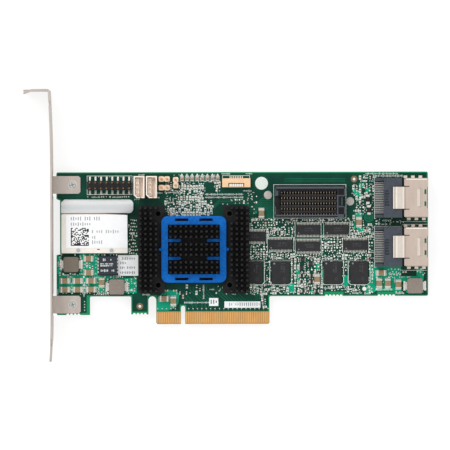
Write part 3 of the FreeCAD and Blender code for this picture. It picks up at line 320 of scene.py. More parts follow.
# Two colours, sizes of their drift and of the relief, its depth (all in millimetres), roughness, specular
# level and metal. After them, where a finish needs it: detail of the drift, stretch, coat, and a band along Y
# with its middle, half width and colour.
finishLooks = {
    "laminate": ((14, 138, 84), (20, 140, 96), 6.0, 0.5, 0.004, 0.35, 0.15, 0.0),
    "maskOverCopper": ((8, 57, 45), (14, 76, 59), 9.0, 0.45, 0.008, 0.3, 0.1, 0.0, dict(detail=5.0)),
    "maskOverFill": ((4, 150, 112), (10, 166, 130), 5.0, 0.45, 0.006, 0.3, 0.12, 0.0),
    "maskOverTrack": ((38, 134, 100), (24, 112, 82), 5.0, 0.25, 0.006, 0.3, 0.12, 0.0),
    "bareLaminate": ((178, 132, 78), (160, 118, 70), 2.0, 0.3, 0.01, 0.6, 0.5, 0.0),
    "gold": ((222, 170, 104), (208, 156, 92), 1.5, 0.15, 0.003, 0.34, 0.5, 0.85,
        dict(stretch=(1, 0.2, 1))),
    "bracketSteel": ((190, 180, 172), (178, 168, 160), 3.0, 0.12, 0.006, 0.42, 0.5, 0.8,
        dict(stretch=(1, 0.25, 1))),
    "screwSteel": ((208, 210, 208), (178, 182, 182), 0.8, 0.1, 0.004, 0.3, 0.5, 0.9),
    "mould": ((42, 42, 44), (34, 34, 36), 1.2, 0.07, 0.006, 0.62, 0.25, 0.0),
    "padRubber": ((150, 152, 156), (139.5, 141.36, 145.08), 1.0, 0.2, 0.01, 0.8, 0.5, 0.0),
    "anodised": ((33, 33, 34), (26, 26, 27), 3.0, 0.12, 0.008, 0.6, 0.16, 0.0),
    "bluePlastic": ((12, 112, 204), (6, 92, 178), 1.0, 0.12, 0.01, 0.55, 0.12, 0.0, dict(detail=6.0)),
    "blackPlastic": ((42, 42, 44), (34, 34, 37), 1.5, 0.1, 0.006, 0.5, 0.25, 0.0),
    "whitePlastic": ((252, 241, 230), (246, 232, 218), 2.0, 0.2, 0.004, 0.45, 0.3, 0.0),
    "tin": ((214, 210, 202), (188, 184, 178), 0.6, 0.12, 0.006, 0.36, 0.5, 0.8),
    "creamPlastic": ((246, 208, 168), (238, 196, 154), 2.0, 0.15, 0.005, 0.5, 0.3, 0.0),
    "slatePlastic": ((71, 76, 85), (61, 66, 75), 1.6, 0.1, 0.006, 0.55, 0.25, 0.0),
    "cageSteel": ((196, 180, 168), (187, 171, 159), 2.5, 0.14, 0.006, 0.4, 0.5, 0.75,
        dict(stretch=(1, 0.3, 1))),
    "powder": ((148, 138, 130), (132, 122, 113), 0.5, 0.12, 0.02, 0.75, 0.2, 0.0, dict(detail=6.0)),
    "tanCeramic": ((156, 136, 104), (138, 116, 84), 0.8, 0.1, 0.006, 0.45, 0.3, 0.0),
    "glaze": ((34, 33, 34), (46, 46, 48), 0.6, 0.1, 0.004, 0.35, 0.3, 0.0),
    "lens": ((202, 184, 160), (178, 156, 130), 0.5, 0.1, 0.003, 0.2, 0.5, 0.0, dict(coat=0.5)),
    "ivoryPlastic": ((243, 237, 228), (233, 228, 219), 6.0, 0.2, 0.005, 0.5, 0.3, 0.0),
    "barPlastic": ((244, 246, 247), (238, 240, 242), 5.0, 0.2, 0.004, 0.5, 0.25, 0.0,
        dict(band=(53.3, 2.9, (207, 210, 211)))),
    "palePlastic": ((226, 229, 230), (216, 220, 222), 6.0, 0.2, 0.004, 0.4, 0.3, 0.0),
    "paper": ((250, 251, 252), (244, 246, 247), 3.0, 0.08, 0.003, 0.7, 0.2, 0.0),
    "printGrey": ((176, 177, 180), (160, 161, 165), 0.5, 0.25, 0.006, 0.8, 0.1, 0.0),
    "printBlack": ((46, 44, 42), (60, 58, 56), 0.4, 0.25, 0.006, 0.8, 0.1, 0.0),
    "silk": ((232, 239, 234), (216, 227, 220), 0.8, 0.1, 0.006, 0.7, 0.15, 0.0),
    "copperRing": ((134, 114, 86), (108, 90, 66), 0.6, 0.1, 0.006, 0.4, 0.5, 0.7),
    "brownCeramic": ((104, 78, 58), (88, 66, 50), 0.6, 0.1, 0.005, 0.45, 0.25, 0.0),
    "brightTin": ((244, 242, 236), (222, 218, 210), 0.5, 0.12, 0.005, 0.4, 0.5, 0.35),
    "solderCoat": ((186, 181, 176), (166, 162, 158), 0.8, 0.15, 0.01, 0.4, 0.5, 0.4),
    # painted highlight on the cage tongue, rib, top edge and feet
    "cagePaintedHighlight": ((234, 226, 216), (226, 217, 206), 1.5, 0.14, 0.004, 0.4, 0.5, 0.5),
    "beigeCell": ((206, 180, 160), (190, 162, 142), 0.8, 0.25, 0.006, 0.6, 0.2, 0.0),
    "chipMark": ((84, 85, 89), (72, 73, 77), 0.5, 0.25, 0.006, 0.7, 0.15, 0.0),
    "chipDot": ((140, 142, 146), (122, 124, 128), 0.5, 0.25, 0.006, 0.7, 0.15, 0.0),
    "slateMark": ((50, 53, 60), (44, 47, 53), 0.5, 0.25, 0.006, 0.7, 0.15, 0.0),
    # painted highlight on the heat sink's pin tips and boss rims
    "pinHighlight": ((37, 37, 38), (32, 32, 33), 0.8, 0.1, 0.004, 0.55, 0.3, 0.0),
    "bladeTin": ((186, 178, 164), (146, 138, 126), 0.6, 0.1, 0.006, 0.4, 0.5, 0.4),
    "bladeGold": ((98, 76, 52), (66, 52, 38), 0.6, 0.1, 0.006, 0.4, 0.5, 0.4),
    "socketPlastic": ((33, 32, 33), (27, 26, 27), 1.5, 0.1, 0.006, 0.55, 0.2, 0.0),
    "moduleMould": ((54, 58, 68), (46, 50, 60), 1.2, 0.07, 0.006, 0.6, 0.2, 0.0),
    "jumperPlastic": ((248, 228, 206), (240, 214, 188), 1.0, 0.15, 0.005, 0.5, 0.3, 0.0),
    # painted shade in the jumper funnels and on the pin tips in the wire sockets
    "wellShade": ((232, 196, 156), (214, 172, 130), 0.6, 0.25, 0.006, 0.6, 0.2, 0.0),
    "contactTin": ((180, 180, 175), (150, 150, 146), 0.6, 0.12, 0.006, 0.38, 0.5, 0.7),
    # painted soft highlight on the cage tongue and the top of the rib
    "cagePaintedSoftHighlight": ((213, 203, 193), (205, 195, 184), 1.2, 0.14, 0.006, 0.4, 0.5, 0.5),
    # painted shade for the inductor core on the left
    "powderShaded": ((124, 115, 105), (110, 101, 91), 0.5, 0.12, 0.02, 0.75, 0.2, 0.0, dict(detail=6.0)),
    # painted shade on the right slope of the cage rib
    "cagePaintedShade": ((172, 157, 146), (158, 144, 132), 1.2, 0.14, 0.006, 0.45, 0.5, 0.5),
    # painted highlight on the edges and painted shade in the recesses of the module socket
    "socketEdgeHighlight": ((76, 83, 92), (60, 66, 75), 0.7, 0.1, 0.006, 0.5, 0.3, 0.0, dict(detail=6.0)),
    "socketRecessShade": ((26, 25, 26), (20, 19, 20), 0.7, 0.1, 0.006, 0.6, 0.15, 0.0),
    "maskStamp": ((8, 96, 72), (4, 84, 64), 1.0, 0.25, 0.006, 0.35, 0.12, 0.0),
    "postGold": ((158, 126, 90), (132, 102, 70), 0.5, 0.1, 0.006, 0.35, 0.5, 0.8),
    "bladeWhite": ((250, 246, 238), (236, 230, 220), 0.5, 0.1, 0.006, 0.4, 0.3, 0.0),
    # a lighter copy of the bracket steel: painted highlight on the screw collars
    "collarHighlightSteel": ((214, 206, 198), (196, 188, 180), 0.8, 0.12, 0.006, 0.4, 0.5, 0.6),
    # painted shade on the floor of the cross on the screw ends
    "screwRecessShade": ((136, 140, 140), (114, 118, 118), 0.5, 0.1, 0.006, 0.4, 0.5, 0.6),
    "plugEdge": ((206, 158, 100), (186, 140, 88), 1.0, 0.25, 0.006, 0.5, 0.2, 0.0),
    "printMiddle": ((120, 122, 128), (104, 106, 112), 0.4, 0.25, 0.006, 0.8, 0.1, 0.0),
    # painted shade in via holes, heat sink wells and gaps, and the dark mark on the cover
    "paintedShadeAndDarkMark": ((20, 30, 26), (12, 18, 16), 0.5, 0.25, 0.006, 0.9, 0.05, 0.0),
}
finishes = {name: finish(name, row) for name, row in finishLooks.items()}
print("finishes made:", len(finishes))

nodeFinishes = {
    "circuit_board": "laminate", "edge_contacts": "gold", "bracket": "bracketSteel",
    "bracket_screws": "screwSteel", "controller_chip": "mould", "thermal_pad": "padRubber",
    "heat_sink": "anodised", "heat_sink_clip": "bluePlastic", "header_block": "blackPlastic",
    "header_pins": "gold", "wire_socket_shells": "whitePlastic", "wire_socket_pins": "tin",
    "jumper_blocks": "jumperPlastic", "jumper_pins": "gold", "cable_socket_shell": "creamPlastic",
    "cable_socket_contacts": "tin", "module_socket_shell": "socketPlastic",
    "module_socket_contacts": "tin", "upper_port_housing": "slatePlastic",
    "upper_port_cage": "cageSteel", "upper_port_contacts": "contactTin",
    "lower_port_housing": "slatePlastic", "lower_port_cage": "cageSteel",
    "lower_port_contacts": "contactTin", "memory_chips": "mould", "buffer_chips": "mould",
    "buffer_leads": "tin", "small_chips": "mould", "transistors": "mould", "inductor_cores": "powder",
    "inductor_terminals": "tin", "power_module": "moduleMould", "power_module_pads": "tin",
    "large_capacitor_bodies": "tanCeramic", "large_capacitor_ends": "tin",
    "small_capacitors": "tanCeramic", "resistors": "glaze", "solder_side_capacitors": "tanCeramic",
    "status_leds": "lens", "cover_base": "ivoryPlastic", "cover_bar": "barPlastic",
    "product_label": "paper", "part_label": "paper", "revision_label": "paper", "strip_label": "paper",
}
for node, name in nodeFinishes.items():
    cad[node].data.materials.clear()
    cad[node].data.materials.append(finishes[name])
# the core on the left is painted darker than the others, as painted shade
shadedCoreRight = -45.0
cores = cad["inductor_cores"].data
cores.materials.append(finishes["powderShaded"])
for face in cores.polygons:
    if face.center.x / mm < shadedCoreRight:
        face.material_index = 1


# Small bevels, so that edges catch the light

bevelLook = {"weld": 0.001, "segments": 2, "angle": 40}


def softenEdges(node, width):
    weld = cad[node].modifiers.new("weld", "WELD")
    weld.merge_threshold = bevelLook["weld"] * mm
    bevel = cad[node].modifiers.new("bevel", "BEVEL")
    bevel.width = width * mm
    bevel.segments = bevelLook["segments"]
    bevel.limit_method = "ANGLE"
    bevel.angle_limit = math.radians(bevelLook["angle"])


edgeWidths = {
    "bracket": 0.12, "heat_sink_clip": 0.25, "inductor_cores": 0.3, "large_capacitor_bodies": 0.12,
    "memory_chips": 0.08, "power_module": 0.15, "cover_base": 0.25, "cover_bar": 0.3,
    "upper_port_housing": 0.12, "lower_port_housing": 0.12, "wire_socket_shells": 0.12,
    "jumper_blocks": 0.15, "cable_socket_shell": 0.15, "header_block": 0.1,
}
for node, width in edgeWidths.items():
    softenEdges(node, width)


# Board: solder mask over the copper plane, with a paler border where the laminate has none

boardLook = {
    "border": 0.5, "footWidth": 15.1, "footBorder": 1.5, "footBottom": 4.2, "bodyBottom": 12.6,
    "notchWidth": 18.7, "legWidth": 7.8, "legBottom": 4.4, "slotWidth": 3.55, "connectorRight": 39.15,
    "recessDepth": 2.15, "recessTop": 56.8, "recessBottom": 31.4, "maskBottom": 5.9, "keyHeight": 8.3,
    "keyWidth": 1.9, "maskLift": 0.03, "toolingHoles": [(77.65, 65.6), (-19.6, 8.1)], "toolingHole": 1.4,
    "holeClear": 0.55, "brokenEdges": [(64.0, 72.8), (88.0, 96.6)], "brokenBand": 1.5, "footGap": 2,
    "legGap": 2.6,
}


def maskOutline():
    look = boardLook
    gap = look["border"]
    left, right, top = boardLow.x, boardHigh.x, boardHigh.y
    footRight = left + look["footWidth"]
    legLeft = footRight + look["notchWidth"]
    legRight = legLeft + look["legWidth"]
    plugLeft = legRight + look["slotWidth"]
    plugRight = look["connectorRight"]
    floorY = look["bodyBottom"] + gap
    key = look["keyWidth"] / 2 + gap
    broken = [(x, floorY + rise) for x0, x1 in look["brokenEdges"]
              for x, rise in ((x0, 0), (x0, look["brokenBand"]), (x1, look["brokenBand"]), (x1, 0))]
    foot, footY = footRight - look["footBorder"], look["footBottom"] + look["footGap"] * gap
    legY = look["legBottom"] + look["legGap"] * gap
    low, keyTop, inner = look["maskBottom"], look["keyHeight"] + gap, left + look["recessDepth"] + gap
    return [
        (left + gap, footY), (foot, footY), (foot, floorY), (legLeft + gap, floorY), (legLeft + gap, legY),
        (legRight - gap, legY), (legRight - gap, floorY), (plugLeft + gap, floorY), (plugLeft + gap, low),
        (-key, low), (-key, keyTop), (key, keyTop), (key, low), (plugRight - gap, low),
        (plugRight - gap, floorY), *broken, (right - gap, floorY), (right - gap, top - gap),
        (left + gap, top - gap), (left + gap, look["recessTop"] + gap), (inner, look["recessTop"] - gap),
        (inner, look["recessBottom"] + gap), (left + gap, look["recessBottom"] - gap)]


def boardMask():
    look = boardLook
    clear = look["toolingHole"] / 2 + look["holeClear"]
    holes = [circle(x, y, clear, 24)[::-1] for x, y in look["toolingHoles"]]
    for name, z0, z1 in (("mask_front", faceZ - bite, faceZ + look["maskLift"]),
                         ("mask_back", backZ - look["maskLift"], backZ + bite)):
        mask = Shape()
        mask.plate([maskOutline()] + holes, z0, z1)
        mask.piece(name, ["maskOverCopper"], "board_laminate")


boardMask()
print("board mask made")


def contactWindow():
    # bare laminate round the gold contacts, on both faces of the board
    look = {"left": -12.05, "right": 39.05, "low": 0.52, "high": 5.75, "keyHalf": 1.05, "lift": 0.015}
    window = Shape()
    for low, high in ((faceZ - bite, faceZ + look["lift"]), (backZ - look["lift"], backZ + bite)):
        window.box(look["left"], -look["keyHalf"], look["low"], look["high"], low, high)
        window.box(look["keyHalf"], look["right"], look["low"], look["high"], low, high)
    window.piece("contact_window", ["bareLaminate"], "board_laminate")


contactWindow()


def recessEdge():
    # the bare edge of the board beside the cover
    look = {"out": 0.5, "low": 31.9, "high": 56.2}
    edge = Shape()
    x = boardLow.x + boardLook["recessDepth"]
    edge.box(x - look["out"], x + 0.1, look["low"], look["high"], backZ + 0.2, faceZ - bite, 0, 0.05)
    edge.piece("recess_edge", ["laminate"], "board_laminate")


recessEdge()


# Room on the board: what stands on it already, so that small parts and marks keep clear

taken = []
roomLook = {
    "wing": 12.0, "screw": 3.6, "tab": 4.0, "edge": 0.7, "bodyLow": 13.3, "plugLeft": -11.4,
    "plugRight": 38.4, "plugLow": 6.3, "keyHalf": 2.2, "keyTop": 9.4,
}


def noteTaken():
    skipped = ("circuit_board", "edge_contacts", "bracket", "bracket_screws", "heat_sink", "heat_sink_clip",
               "thermal_pad", "controller_chip", "solder_side_capacitors")
    for node in cad:
        if node not in skipped:
            taken.extend((low.x, high.x, low.y, high.y) for low, high in solidsOf(node) if high.z > faceZ)
    sinkLow, sinkHigh = boxOf("heat_sink")
    clipLow, clipHigh = boxOf("heat_sink_clip")
    taken.append((sinkLow.x, sinkLow.x + roomLook["wing"], sinkLow.y, sinkHigh.y))
    taken.append((sinkHigh.x - roomLook["wing"], sinkHigh.x, sinkLow.y, sinkHigh.y))
    taken.append((clipLow.x, clipHigh.x, clipLow.y, clipHigh.y))
    for low, high in solidsOf("bracket_screws"):
        (x, y), clear, tab = midOf(low, high), roomLook["screw"], roomLook["tab"]
        taken.append((boardLow.x, x + clear, y - tab, y + tab))
        taken.append((x - clear, x + clear, y - clear, y + clear))


noteTaken()


def isFree(x, y, halfX, halfY, gap=0.12):
    look = roomLook
    edge = look["edge"]
    left, right, low, high = x - halfX, x + halfX, y - halfY, y + halfY
    if not (boardLow.x + edge < left and right < boardHigh.x - edge):
        return False
    if not (look["bodyLow"] < low and high < boardHigh.y - edge):
        onPlug = look["plugLeft"] < left and right < look["plugRight"] and low > look["plugLow"]
        if not onPlug or (abs(x) < look["keyHalf"] and low < look["keyTop"]):
            return False
    return all(right + gap <= x0 or left - gap >= x1 or high + gap <= y0 or low - gap >= y1
               for x0, x1, y0, y1 in taken)


def hold(x, y, halfX, halfY):
    taken.append((x - halfX, x + halfX, y - halfY, y + halfY))


# Small things on the board: chip parts with their solder, test pads, vias and print

# part: length, width and height of a chip part, and length of its ends
smallLook = {"printLift": 0.025, "printWidth": 0.2, "sunk": 0.01, "part": (1.0, 0.5, 0.4, 0.24)}
maskZ = faceZ + boardLook["maskLift"]
printZ = maskZ + smallLook["printLift"]
seatZ = maskZ - smallLook["sunk"]
tiny = Shape()
pads = Shape()
vias = Shape()
printed = Shape()


def chipPart(x, y, angle, body):
    # body: 1 tan capacitor, 2 dark resistor, 3 brown capacitor; 0 is the tin
    length, width, height, end = smallLook["part"]
    spot = (x, y, angle)
    w = width / 2
    for s in (-1, 1):
        outer, inner = s * length / 2, s * (length / 2 - end)
        tiny.box(*sorted((outer, inner)), -w, w, maskZ, maskZ + height, 0, 0.03, spot)
        rings = []
        for (x0, x1), half, z in ((sorted((outer + s * 0.28, inner - s * 0.02)), w + 0.06, seatZ),
                                  (sorted((outer + s * 0.04, inner)), w - 0.05, maskZ + height * 0.6)):
            rings.append([(x0, -half, z), (x1, -half, z), (x1, half, z), (x0, half, z)])
        tiny.stack(rings, 0, spot)
    tiny.box(-length / 2 + end, length / 2 - end, -w + 0.03, w - 0.03, maskZ, maskZ + height - 0.03,
             body, 0.02, spot)


def frameMark(x, y, width, length, angle=0, line=None):
    # a printed rectangle round a part
    line = line or smallLook["printWidth"]
    w, h = width / 2, length / 2
    outer = [(-w, -h), (w, -h), (w, h), (-w, h)]
    inner = [(-w + line, -h + line), (w - line, -h + line), (w - line, h - line), (-w + line, h - line)]
    rings = [[(px, py, z) for px, py in outline] for outline, z in (
        (inner, seatZ), (outer, seatZ), (outer, printZ), (inner, printZ), (inner, seatZ))]
    printed.stack(rings, 0, (x, y, angle), closed=False)


def lineMark(path, width=None):
    printed.strip(path, width or smallLook["printWidth"], seatZ, printZ)


def tickMarks(x, y, count, height=0.8, angle=0, seed=1):
    # a generic reference mark: a few short strokes of uneven height
    look = {"heights": (0.5, 0.75, 1.0), "step": 0.62, "width": 0.3}
    luck = random.Random(seed)
    c, s = math.cos(math.radians(angle)), math.sin(math.radians(angle))
    for i in range(count):
        tall = height * luck.choice(look["heights"])
        across = i * height * look["step"]
        printed.block(x + across * c, y + across * s, height * look["width"], tall, seatZ, printZ,
                      angle=angle)


def testPad(x, y, radius=0.38):
    pads.turned(x, y, [(radius, seatZ), (radius, maskZ + 0.03), (radius * 0.7, maskZ + 0.06)], 10)


def via(x, y, radius=0.24):
    vias.ring(x, y, radius * 0.45, radius, seatZ, maskZ + 0.02, 8)
    # the dark centre of each via is painted shade in its hole
    vias.disc(x, y, radius * 0.44, seatZ, maskZ + 0.004, 6, 1)


def framePixels(x0, y0, x1, y1, line=None):
    (left, top), (right, low) = fromPixel(x0, y0), fromPixel(x1, y1)
    frameMark((left + right) / 2, (top + low) / 2, right - left, top - low, 0, line)


def linePixels(path, width=None):
    lineMark([fromPixel(*p) for p in path], width)


# Copper under the mask: areas that show brighter, and bundles of tracks. All are pixels of the photograph.

copperAreas = [
    [(352, 189), (355.8, 188.2), (359.1, 191.7), (364, 195.5), (364, 197.6), (358.6, 196.6),
     (353.7, 193.3)],
    [(358.8, 183), (364.2, 183), (364.2, 187.9), (358.8, 187.9)],
    [(364.8, 188), (367, 186.8), (370.2, 189), (370, 192.2), (366, 192)],
    [(355.8, 197.1), (358.3, 197.1), (358.3, 200.9), (356.5, 200)],
    [(355, 212.8), (362.3, 212.8), (362.3, 216.5), (355.6, 216.5), (355.6, 229), (353.9, 229)],
    [(356.7, 227.8), (363.6, 227.8), (363.6, 233.2), (357.5, 233.2)],
    [(370.3, 266), (374.3, 262), (389, 262), (401, 266), (401, 276), (416.5, 276), (416.5, 267.5),
     (423.5, 267.5), (423.5, 292.6), (406, 292.6), (406, 281.5), (401.5, 281.5), (401.5, 292.6),
     (394.5, 290.8), (376, 290.8), (373, 293), (366.5, 292.8), (365.2, 290.2), (367, 284.5),
     (370.3, 283)],
    [(288.2, 284), (291, 282.6), (294.5, 283.5), (294.8, 292.5), (288.6, 292.6)],
    [(296.2, 269.2), (299.7, 269.2), (299.7, 284), (297, 284)],
    [(309.4, 287.6), (312.9, 287.6), (312.9, 292.8), (309.4, 292.8)],
    [(316.3, 262.9), (319.8, 262.9), (319.8, 269), (316.3, 269)],
    [(321.6, 269), (324, 269), (324.2, 284.4), (321.6, 282.5)],
    [(342.8, 275.5), (347.9, 275.5), (348.5, 286.4), (343.5, 286.4)],
    [(254, 213.5), (255.2, 211.4), (257.6, 210.8), (256.4, 213.6)],
    [(156.9, 298), (163, 292.6), (168, 289.6), (176, 290.6), (179.2, 294), (178.4, 303), (175.2, 307.4),
     (171, 308.8), (168.5, 310.6), (156.9, 310.6)],
    [(58.4, 274.5), (79.6, 274.5), (79.6, 254.4), (98, 254.4), (98, 275.4), (116.6, 275.4), (120, 278),
     (136.6, 277.8), (136.6, 293), (125, 293), (124.4, 278.6), (108.4, 278.6), (107.6, 292.4),
     (58.4, 292.4)],
    [(57.6, 256), (61.6, 256), (61.6, 274), (57.6, 274)],
]
dimAreas = [[(263.4, 206.9), (273.4, 206.5), (273.4, 221), (268.4, 221), (264.2, 216.4)]]
trackLook = {
    "lift": 0.012, "width": 0.16, "plugPitch": 2.0, "plugShift": 0.5, "plugRows": (-6, 20), "plugLow": 5.95,
    "plugTop": 7.0, "keyHalf": 1.6, "via": 0.26,
}


def copperUnderMask():
    fills = Shape()
    for mark, areas in enumerate((copperAreas, dimAreas)):
        for area in areas:
            fills.plate([[fromPixel(*p) for p in area]], faceZ, maskZ + 0.006, mark)
    fills.piece("copper_fills", ["maskOverFill", "maskStamp"], "board_laminate")
    tracks = Shape()

    def bundle(path, count, shift):
        for i in range(count):
            tracks.strip([fromPixel(px + i * shift[0], py + i * shift[1]) for px, py in path],
                         trackLook["width"], faceZ, maskZ + trackLook["lift"])

    bundle([(190, 286.5), (190, 290), (202, 302), (202, 307.6)], 6, (3.3, 0))
    bundle([(214, 286.5), (214, 289), (226, 301), (226, 307.6)], 7, (3.3, 0))
    bundle([(184.5, 293), (196, 304.5), (196, 307.6)], 2, (-3.3, 1))
    bundle([(272.6, 198.4), (262, 198.4), (253, 207.4), (247.5, 207.4)], 5, (0, 1.9))
    bundle([(272.6, 224.2), (262, 224.2), (255, 217.2), (250, 217.2)], 3, (0, 1.7))
    bundle([(284, 178.6), (345, 178.6)], 3, (0, 1.6))
    bundle([(214, 205), (219, 200), (244, 200), (249, 205)], 3, (0, 1.6))
    bundle([(134, 196), (134, 204)], 3, (2.2, 0))
    bundle([(318.6, 252.5), (322.4, 256.3), (322.4, 262)], 4, (1.5, 0))
    bundle([(252.5, 284), (252.5, 292), (256, 295.5), (256, 300)], 4, (1.7, 0))
    look = trackLook
    for i in range(*look["plugRows"]):
        x = i * look["plugPitch"] + look["plugShift"]
        if abs(x) > look["keyHalf"]:
            tracks.strip([(x, look["plugLow"]), (x, look["plugTop"])], look["width"], faceZ,
                         maskZ + look["lift"])
            via(x, look["plugTop"], look["via"])
    tracks.piece("tracks", ["maskOverTrack"], "board_laminate")


copperUnderMask()

# Places that stay free of small parts: middle x and y, half width and half length
groundDiscs = [(38.6, 58.4), (75.8, 55.5)]
plainDisc = (35.69, 63.77)
widePad = (82.2, 15.85)
for place in [*((x, y, 1.9, 1.9) for x, y in boardLook["toolingHoles"]),
              *((x, y, 2.2, 2.2) for x, y in groundDiscs), (*plainDisc, 3.9, 3.9), (*widePad, 1.1, 1.1),
              (12.13, 61.71, 1.75, 2.2), (57.1, 66.4, 11.6, 2.2), (18.65, 58.1, 8.8, 1.1),
              (84.4, 47.6, 2.2, 2.2), (104.6, 23.4, 3.2, 1.4), (49.1, 16.1, 1.0, 1.2), (86.2, 17.2, 1.0, 1.2),
              (73.8, 19.4, 0.9, 1.5), (68.4, 13.8, 4.6, 1.0), (92.3, 13.8, 4.5, 1.0)]:
    hold(*place)

# Where the small parts stand: area, steps, shares of framed parts, of parts without a frame and of pads,
# and their angle. The rest has a few vias or stays bare.
smallZones = [
    ((-6.0, 16.8, 61.2, 64.4), (1.3, 1.62), 0.62, 0.2, 0.08, 90),
    ((14.6, 17.6, 58.6, 67.0), (1.35, 1.2), 0.3, 0.25, 0.12, 0),
    ((-2.6, 9.6, 56.2, 61.2), (1.3, 1.62), 0.66, 0.18, 0.08, 90),
    ((-8.6, 13.4, 49.2, 56.2), (1.3, 1.66), 0.7, 0.18, 0.06, 90),
    ((21.0, 33.5, 52.5, 60.2), (1.9, 1.5), 0.0, 0.03, 0.16, 0),
    ((30.8, 41.5, 40.6, 47.6), (1.25, 1.2), 0.05, 0.08, 0.24, 0),
    ((37.6, 50.8, 38.6, 44.4), (1.6, 1.7), 0.4, 0.15, 0.2, 90),
    ((27.8, 38.2, 29.8, 37.0), (1.2, 1.15), 0.05, 0.1, 0.4, 90),
    ((36.0, 62.8, 30.4, 33.2), (1.25, 1.2), 0.12, 0.28, 0.34, 90),
    ((47.6, 63.2, 38.0, 40.0), (1.2, 1.1), 0.05, 0.4, 0.22, 90),
    ((62.6, 72.4, 28.6, 40.0), (1.35, 1.3), 0.12, 0.14, 0.36, 90),
    ((72.4, 86.4, 29.0, 32.4), (1.4, 1.35), 0.3, 0.3, 0.2, 0),
    ((75.6, 86.6, 38.8, 46.4), (1.4, 1.35), 0.25, 0.28, 0.24, 0),
    ((84.0, 86.8, 12.0, 52.0), (1.2, 1.5), 0.1, 0.3, 0.34, 0),
    ((36.4, 40.0, 17.4, 29.6), (1.1, 1.25), 0.0, 0.12, 0.12, 0),
    ((48.6, 63.6, 13.6, 31.0), (1.5, 1.45), 0.34, 0.3, 0.14, 90),
    ((72.2, 75.6, 17.4, 29.6), (1.1, 1.25), 0.0, 0.1, 0.12, 0),
    ((28.6, 63.6, 13.2, 17.4), (1.5, 1.6), 0.4, 0.22, 0.12, 90),
    ((63.6, 84.0, 14.4, 17.4), (1.5, 1.5), 0.34, 0.24, 0.14, 90),
    ((40.6, 74.4, 45.4, 48.0), (1.35, 1.15), 0.04, 0.12, 0.14, 0),
    ((76.6, 86.4, 46.0, 67.6), (1.5, 1.5), 0.22, 0.18, 0.18, 90),
    ((87.0, 100.4, 44.4, 47.8), (1.5, 1.5), 0.0, 0.14, 0.24, 0),
    ((87.0, 110.4, 13.4, 25.4), (1.8, 1.7), 0.03, 0.08, 0.12, 0),
    ((-24.8, -20.8, 31.4, 48.4), (1.3, 1.5), 0.15, 0.45, 0.12, 0),
    ((-56.4, -21.0, 13.4, 31.6), (1.35, 1.45), 0.1, 0.34, 0.16, 90),
    ((-44.0, -21.0, 57.2, 58.6), (1.7, 1.1), 0.05, 0.3, 0.14, 0),
    ((-3.6, 10.5, 13.4, 18.4), (1.5, 1.5), 0.1, 0.2, 0.08, 90),
    ((35.2, 38.2, 7.0, 18.0), (1.3, 1.5), 0.4, 0.25, 0.1, 90),
]


def placeSmallParts():
    look = {"seed": 7, "shift": 0.1, "straight": 0.85, "half": (0.8, 0.32), "pad": 0.4, "via": 0.25,
            "viaFrom": 0.72, "frame": (1.9, 0.98)}
    luck = random.Random(look["seed"])
    shift, pad, hole = look["shift"], look["pad"], look["via"]
    for (x0, x1, y0, y1), (stepX, stepY), framed, loose, padShare, zoneAngle in smallZones:
        y = y0 + stepY / 2
        while y < y1:
            x = x0 + stepX / 2
            while x < x1:
                px, py = x + luck.uniform(-shift, shift), y + luck.uniform(-shift, shift)
                pick, body, turn = luck.random(), luck.choice((1, 1, 2, 3)), luck.random()
                angle = zoneAngle if turn < look["straight"] else 90 - zoneAngle
                halfX, halfY = look["half"] if angle == 0 else look["half"][::-1]
                if pick < framed + loose:
                    if isFree(px, py, halfX, halfY):
                        chipPart(px, py, angle, body)
                        hold(px, py, halfX, halfY)
                        if pick < framed:
                            frameMark(px, py, *look["frame"], angle)
                elif pick < framed + loose + padShare:
                    if isFree(px, py, pad, pad):
                        testPad(px, py, luck.choice((0.3, 0.36, 0.42)))
                        hold(px, py, pad, pad)
                elif pick > look["viaFrom"] and isFree(px, py, hole, hole, 0.05):
                    via(px, py)
                x += stepX
            y += stepY


placeSmallParts()

# The gaps between them: area, number of tries, share of vias and pads; the rest are short printed strokes
gapZones = [
    ((30.8, 50.8, 38.6, 48.0), 190, 0.35, 0.45), ((50.0, 76.0, 45.0, 48.2), 120, 0.4, 0.25),
    ((28.0, 63.0, 29.4, 33.4), 260, 0.2, 0.4), ((62.4, 72.6, 28.4, 40.0), 200, 0.3, 0.5),
    ((75.0, 86.8, 38.0, 47.0), 160, 0.35, 0.3), ((48.4, 63.8, 13.4, 31.0), 220, 0.25, 0.3),
    ((28.6, 86.0, 13.4, 17.6), 260, 0.3, 0.3), ((-8.6, 13.4, 49.2, 57.0), 300, 0.1, 0.25),
    ((-8.2, 16.0, 57.0, 64.6), 230, 0.12, 0.3), ((72.0, 86.6, 28.6, 33.4), 120, 0.2, 0.4),
    ((76.6, 86.4, 46.0, 67.6), 150, 0.3, 0.25), ((18.0, 33.5, 49.0, 60.4), 40, 0.5, 0.2),
    ((-56.0, -21.0, 13.6, 31.6), 160, 0.3, 0.4), ((27.8, 38.4, 29.6, 37.2), 50, 0.2, 0.5),
    ((87.0, 100.0, 44.4, 47.9), 40, 0.3, 0.3), ((87.0, 110.2, 13.6, 25.4), 20, 0.6, 0.1),
    ((-24.8, -20.6, 31.4, 48.4), 60, 0.2, 0.5), ((36.2, 40.2, 17.4, 29.8), 16, 0.3, 0.4),
    ((72.0, 75.8, 17.4, 29.8), 16, 0.3, 0.4), ((-4.0, 17.0, 64.2, 67.8), 90, 0.1, 0.2),
    ((14.6, 38.4, 13.4, 18.4), 50, 0.4, 0.2),
]


